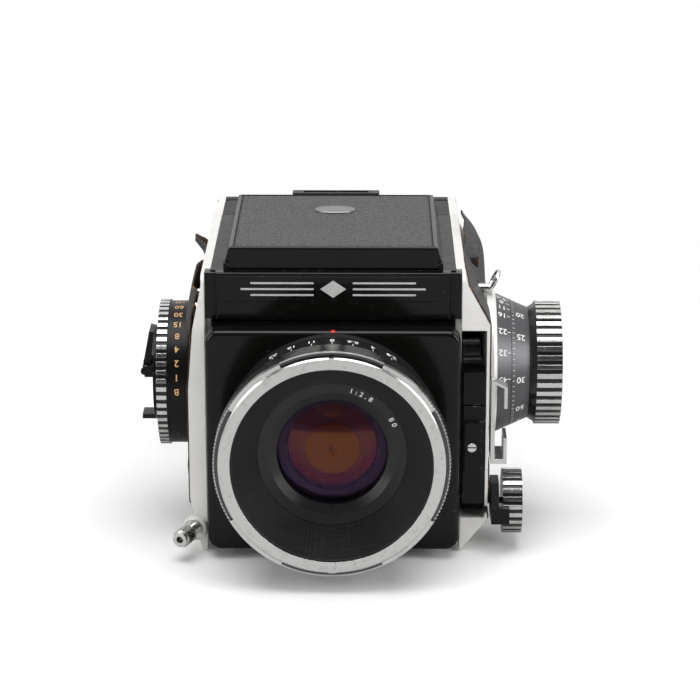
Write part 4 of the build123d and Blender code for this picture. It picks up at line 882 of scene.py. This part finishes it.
left_outline = [
    *torn_edge(left_edge, 5),
    (front, 52.0), (front + 0.9, 40.0), (front + 1.7, 33.0), (front + 0.7, 25.0), (front + 2.1, 17.5),
    (-38.6, 17.5), (-38.6, 9.7), (rear, 9.7),
]
left_holes = [circle(DIAL.y, DIAL.z, DIAL_HOLE_R, 90), circle(-15 * MM, 90 * MM, 2.4 * MM, 20)]
left_points = [(-50.95, 9.5), (-52.2, 21.0), (-52.2, 62.0), (-50.4, 84.7), (-47.6, 98.5)]
side_sheet("left_leather", Profile(left_points, -1), corner_ring(left_outline), left_holes, left_lift)
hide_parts("side_leather")
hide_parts("side_leather")

# the hood lid's leather, a rounded sheet with a slight cushion
lid_low, lid_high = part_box("lid_leather")
LID_CORNER_R = 2.5 * MM


def rounded(low_u, high_u, low_v, high_v, radius, step=1.5 * MM):
    """A closed ring round a rectangle with round corners."""
    ring = []
    corners = ((high_u, high_v, 0), (low_u, high_v, 1), (low_u, low_v, 2), (high_u, low_v, 3))
    for u, v, quarter in corners:
        centre_u = u - radius if u == high_u else u + radius
        centre_v = v - radius if v == high_v else v + radius
        for i in range(7):
            turn = pi / 2 * (quarter + i / 6)
            ring.append((centre_u + radius * cos(turn), centre_v + radius * sin(turn)))
    return dense(ring, step)


def on_lid(x, y):
    inset = min(x - lid_low.x, lid_high.x - x, y - lid_low.y, lid_high.y - y)
    top = lid_high.z - 0.38 * MM * (1 - smooth(inset, 0, 1.1 * MM))
    spot = Vector((x, y, top))
    spot.z += pebble(spot, 0.04 * MM)
    return spot


lid_ring = rounded(lid_low.x, lid_high.x, lid_low.y, lid_high.y, LID_CORNER_R)
mesh = sheet_mesh("lid_cover", lid_ring, [], 1.3 * MM, on_lid, 0.4 * MM, 0)
lid_cover = add_piece("lid_cover", mesh, "lid", "leatherette", LID_LEATHER)
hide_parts("lid_leather")

# a plain oval silver badge on the lid
BADGE = Vector((0, 15.0 * MM, lid_high.z - 0.05 * MM))
work = bmesh.new()
rows = []
BADGE_STEPS = (
    (1.0, 0.0), (1.0, 0.35), (0.94, 0.62), (0.86, 0.66), (0.80, 0.52), (0.4, 0.60), (0.05, 0.62),
)
for reach, rise in BADGE_STEPS:
    ring = circle(0, 0, 1.0, 48)
    rows.append([
        work.verts.new(BADGE + Vector((u * reach * 7.6 * MM, v * reach * 5.2 * MM, rise * MM)))
        for u, v in ring
    ])
for lower_row, upper_row in zip(rows, rows[1:]):
    for i in range(48):
        j = (i + 1) % 48
        work.faces.new([lower_row[i], lower_row[j], upper_row[j], upper_row[i]])
work.faces.new(rows[-1])
work.faces.new(rows[0][::-1])
add_piece("lid_badge", mesh_from("lid_badge", work), "lid", "satin_silver", BADGE_STEEL)


# ---- soft goods: bellows and the front fold -------------------------------------------------
def square_tube(rows, corner):
    """Rings of points round rounded squares: rows are (y, half size); open at both ends."""
    work = bmesh.new()
    made = []
    for y, half in rows:
        ring = rounded(-half, half, AXIS_Z - half, AXIS_Z + half, corner, 400 * MM)
        made.append([work.verts.new(Vector((u, y, v))) for u, v in ring])
    for a, b in zip(made, made[1:]):
        for i in range(len(a)):
            j = (i + 1) % len(a)
            work.faces.new([a[i], a[j], b[j], b[i]])
    return work


def pleated(name, node, pleats, wall):
    """A pleated square tube that fills a soft node's box, thin like cloth."""
    low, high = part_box(node)
    outer = (high.x - low.x) / 2
    rows = []
    steps = pleats * 6
    for i in range(steps + 1):
        y = low.y + (high.y - low.y) * i / steps
        fold = 0.5 + 0.5 * cos(2 * pi * pleats * i / steps)
        rows.append((y, outer - 0.4 * MM - wall * (1 - fold)))
    work = square_tube(rows, 4.0 * MM)
    bmesh.ops.recalc_face_normals(work, faces=work.faces)
    return thickened(name, work, 0.35 * MM, 0), low.y, high.y


mesh, bellows_front, bellows_rear = pleated("bellows_cloth", "bellows", 5, 3.6 * MM)
bellows = add_piece("bellows_cloth", mesh, None, "bellows_cloth", FINISHES["bellows_cloth"])
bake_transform(bellows)
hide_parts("bellows")
mesh, fold_front, fold_rear = pleated("front_fold_cloth", "bellows_front_fold", 3, 2.2 * MM)
front_fold = add_piece("front_fold_cloth", mesh, None, "bellows_cloth", FINISHES["bellows_cloth"])
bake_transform(front_fold)
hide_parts("bellows_front_fold")

# the magazine door's leather, wrapped round its rear corners
door_low, door_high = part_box("magazine_door")
DOOR_CORNER_R = 22.0 * MM
DOOR_GAP = 0.06 * MM
flat_half = door_high.x - DOOR_CORNER_R
side_length = door_high.y - DOOR_CORNER_R - door_low.y
WRAP = side_length + DOOR_CORNER_R * pi / 2 + flat_half


def on_door(u, v):
    """u is the length round the door from the middle of its back; v is the height."""
    side = 1 if u >= 0 else -1
    length = abs(u)
    away = DOOR_GAP + LEATHER_MM * MM
    if length < flat_half:
        spot = Vector((length, door_high.y + away, v))
        normal = Vector((0, 1, 0))
    else:
        turn = min((length - flat_half) / DOOR_CORNER_R, pi / 2)
        normal = Vector((sin(turn), cos(turn), 0))
        centre = Vector((flat_half, door_high.y - DOOR_CORNER_R, v))
        spot = centre + normal * (DOOR_CORNER_R + away)
        spot.y -= max(0.0, length - flat_half - DOOR_CORNER_R * pi / 2)
    spot.x *= side
    normal.x *= side
    return spot + normal * pebble(spot, 0.04 * MM)


door_end = WRAP - 4.0 * MM
door_ring = rounded(-door_end, door_end, door_low.z + 4.5 * MM, door_high.z - 4.5 * MM, 3 * MM)
mesh = sheet_mesh("door_leather", door_ring, [], 2.6 * MM, on_door, LEATHER_MM * MM, 0, flip=True)
add_piece("door_leather", mesh, "magazine_door", "leatherette", FINISHES["leatherette"])

# ---- small ornaments ------------------------------------------------------------------------
fascia_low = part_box("front_fascia")[0]
BAND_FACE_Y = fascia_low.y - 0.02 * MM
BAND_MID_Z = 99.1 * MM


def flat_block(work, low, high):
    """A closed box between two corners."""
    xs, ys, zs = zip(low, high)
    spots = [Vector((x, y, z)) for x in xs for y in ys for z in zs]
    vert = [work.verts.new(spot) for spot in spots]
    for quad in ((0, 1, 3, 2), (4, 6, 7, 5), (0, 4, 5, 1), (2, 3, 7, 6), (0, 2, 6, 4), (1, 5, 7, 3)):
        work.faces.new([vert[i] for i in quad])


work = bmesh.new()
for side in SIDES:
    for rise in (-2.2, 0.0, 2.2):
        near, far = side * 7.0 * MM, side * (33.0 - abs(rise) * 1.6) * MM
        low = (min(near, far), BAND_FACE_Y, BAND_MID_Z + (rise - 0.35) * MM)
        high = (max(near, far), BAND_FACE_Y + 0.15 * MM, BAND_MID_Z + (rise + 0.35) * MM)
        flat_block(work, low, high)
half_w, half_h = 4.6, 3.2
diamond = [(half_w, 0), (0, half_h), (-half_w, 0), (0, -half_h)]
front_ring = [work.verts.new(Vector((u * MM, BAND_FACE_Y, BAND_MID_Z + v * MM))) for u, v in diamond]
back_ring = [work.verts.new(vert.co + Vector((0, 0.15 * MM, 0))) for vert in front_ring]
work.faces.new(front_ring)
work.faces.new(back_ring[::-1])
for i in range(4):
    j = (i + 1) % 4
    work.faces.new([front_ring[j], front_ring[i], back_ring[i], back_ring[j]])
mesh = mesh_from("band_ornament", work)
mesh.polygons.foreach_set("use_smooth", [False] * len(mesh.polygons))
add_piece("band_ornament", mesh, "root", "satin_silver", ORNAMENT)

# the slotted screw in the front of the carriage arm
SCREW = Vector((50.0 * MM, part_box("carriage_arm")[0].y - 0.02 * MM, 41.5 * MM))
SCREW_R, SLOT_HALF = 1.8 * MM, 0.28 * MM
work = bmesh.new()
for side in SIDES:
    edge = [(u, v) for u, v in circle(0, 0, SCREW_R, 40) if v * side > SLOT_HALF]
    edge.sort(key=lambda spot: spot[0])
    reach = (SCREW_R ** 2 - SLOT_HALF ** 2) ** 0.5
    edge = [(-reach, side * SLOT_HALF), *edge, (reach, side * SLOT_HALF)]
    top = [work.verts.new(SCREW + Vector((u * 0.93, -0.45 * MM, v * 0.93))) for u, v in edge]
    foot = [work.verts.new(SCREW + Vector((u, 0.0, v))) for u, v in edge]
    work.faces.new(top)
    work.faces.new(foot[::-1])
    for i in range(len(edge)):
        j = (i + 1) % len(edge)
        work.faces.new([top[j], top[i], foot[i], foot[j]])
bmesh.ops.recalc_face_normals(work, faces=work.faces)
mesh = mesh_from("arm_screw", work)
mesh.polygons.foreach_set("use_smooth", [False] * len(mesh.polygons))
add_piece("arm_screw", mesh, "carriage", "bright_chrome", FINISHES["bright_chrome"])

# the red mark on the top front edge of the standard
std_low, std_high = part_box("front_standard")
work = bmesh.new()
bmesh.ops.create_uvsphere(work, u_segments=20, v_segments=12, radius=1.15 * MM)
for vert in work.verts:
    vert.co = Vector((vert.co.x, std_low.y + 1.5 * MM + vert.co.y, std_high.z - 0.45 * MM + vert.co.z * 0.45))
add_piece("mount_mark", mesh_from("mount_mark", work), "standard", "black_enamel", RED_INK)


# ---- floor, lights and camera ---------------------------------------------------------------
def ray_kind(tree, kind):
    """1 for the rays of one kind and 0 for the others."""
    return tree.nodes.new("ShaderNodeLightPath").outputs[kind]


floor = Finish("paper_floor")
fibre = floor.noise(1.4, 4.0)
paper = floor.mix(fibre, (0.90, 0.90, 0.90), (0.94, 0.94, 0.94))
# painted reflection: in glossy reflections the floor shows a mid grey, darker than its own paper colour
mirrored = ray_kind(floor.tree, "Is Glossy Ray")
floor.set(base_color=floor.mix(mirrored, paper, (0.44, 0.44, 0.44)), roughness=0.85)
floor.set(normal=floor.bump(fibre, 0.01, 0.2))
x, y, _ = floor.axes()
FADE_FROM, FADE_TO = 0.18, 0.44  # metres from the middle, where the floor turns plain white
spread = floor.math("SQRT", floor.math("ADD", floor.math("POWER", x, 2.0), floor.math("POWER", y, 2.0)))
far = floor.between(spread, FADE_FROM, FADE_TO)
fade = floor.math("MULTIPLY", far, ray_kind(floor.tree, "Is Camera Ray"))
white = floor.add("Emission", {"Color": (1.0, 1.0, 1.0), "Strength": 1.0})
both = floor.add("MixShader", {0: fade, 1: floor.shader.outputs[0], 2: white})
floor.tree.links.new(both, floor.output.inputs[0])
work = bmesh.new()
corners = [work.verts.new(Vector(spot)) for spot in ((-4, -4, 0), (4, -4, 0), (4, 8, 0), (-4, 8, 0))]
work.faces.new(corners)
mesh = mesh_from("floor", work)
mesh.materials.append(floor.material)
ground = bpy.data.objects.new("floor", mesh)
bpy.context.scene.collection.objects.link(ground)
ground.location.z = FLOOR_Z


def softbox(name, location, target, size, power):
    """A rectangular area light that faces the target."""
    lamp = bpy.data.lights.new(name, "AREA")
    lamp.shape = "RECTANGLE"
    lamp.size, lamp.size_y = size
    lamp.energy = power
    holder = bpy.data.objects.new(name, lamp)
    bpy.context.scene.collection.objects.link(holder)
    holder.location = location
    holder.rotation_euler = (Vector(target) - Vector(location)).to_track_quat("-Z", "Y").to_euler()


AIM = (0.0, 0.0, 0.06)
softbox("top_box", (0.0, -0.12, 1.0), AIM, (1.0, 0.8), 10.0)
softbox("left_box", (-0.95, -0.55, 0.45), AIM, (0.6, 0.7), 5.0)
softbox("right_box", (0.95, -0.50, 0.45), AIM, (0.6, 0.7), 6.0)

world = bpy.data.worlds.new("studio")
world.use_nodes = True
sky = world.node_tree
sky.nodes.clear()
place = sky.nodes.new("ShaderNodeTexCoord").outputs["Generated"]
parts = sky.nodes.new("ShaderNodeSeparateXYZ")
sky.links.new(place, parts.inputs[0])


def sky_range(value, low, high, dark, bright):
    """A grey level that runs from dark to bright as a direction's axis goes from low to high."""
    node = sky.nodes.new("ShaderNodeMapRange")
    sky.links.new(value, node.inputs["Value"])
    for key, number in (("From Min", low), ("From Max", high), ("To Min", dark), ("To Max", bright)):
        node.inputs[key].default_value = number
    return node.outputs[0]


def sky_background(strength, grey=0.8):
    """A grey sky; strength is a number or a socket."""
    node = sky.nodes.new("ShaderNodeBackground")
    node.inputs["Color"].default_value = (grey, grey, grey, 1.0)
    if isinstance(strength, float):
        node.inputs["Strength"].default_value = strength
    else:
        sky.links.new(strength, node.inputs["Strength"])
    return node.outputs[0]


def sky_mix(share, a, b):
    node = sky.nodes.new("ShaderNodeMixShader")
    for socket, value in zip(node.inputs, (share, a, b)):
        sky.links.new(value, socket)
    return node.outputs[0]


depth = sky_range(parts.outputs[1], -0.5, 0.75, 0.05, 1.05)
seen = sky_background(1.0, 1.0)
soft = sky_background(0.42)
reflected = sky_background(depth)
light = sky_mix(ray_kind(sky, "Is Glossy Ray"), soft, reflected)
light = sky_mix(ray_kind(sky, "Is Camera Ray"), light, seen)
sky.links.new(light, sky.nodes.new("ShaderNodeOutputWorld").inputs[0])
bpy.context.scene.world = world
bpy.context.scene.view_settings.view_transform = "Standard"

CAMERA_LENS_MM = 134.8
CAMERA_SENSOR_MM = 36.0
CAMERA_PLACE = (0.01275, -0.9396, 0.3586)
CAMERA_DOWN = 17.45  # degrees below level
CAMERA_SIDEWAYS = 0.43
camera_data = bpy.data.cameras.new("camera")
camera_data.lens = CAMERA_LENS_MM
camera_data.sensor_width = CAMERA_SENSOR_MM
camera = bpy.data.objects.new("camera", camera_data)
camera.location = CAMERA_PLACE
camera.rotation_euler = (radians(90 - CAMERA_DOWN), 0.0, radians(CAMERA_SIDEWAYS))
bpy.context.scene.collection.objects.link(camera)
bpy.context.scene.camera = camera
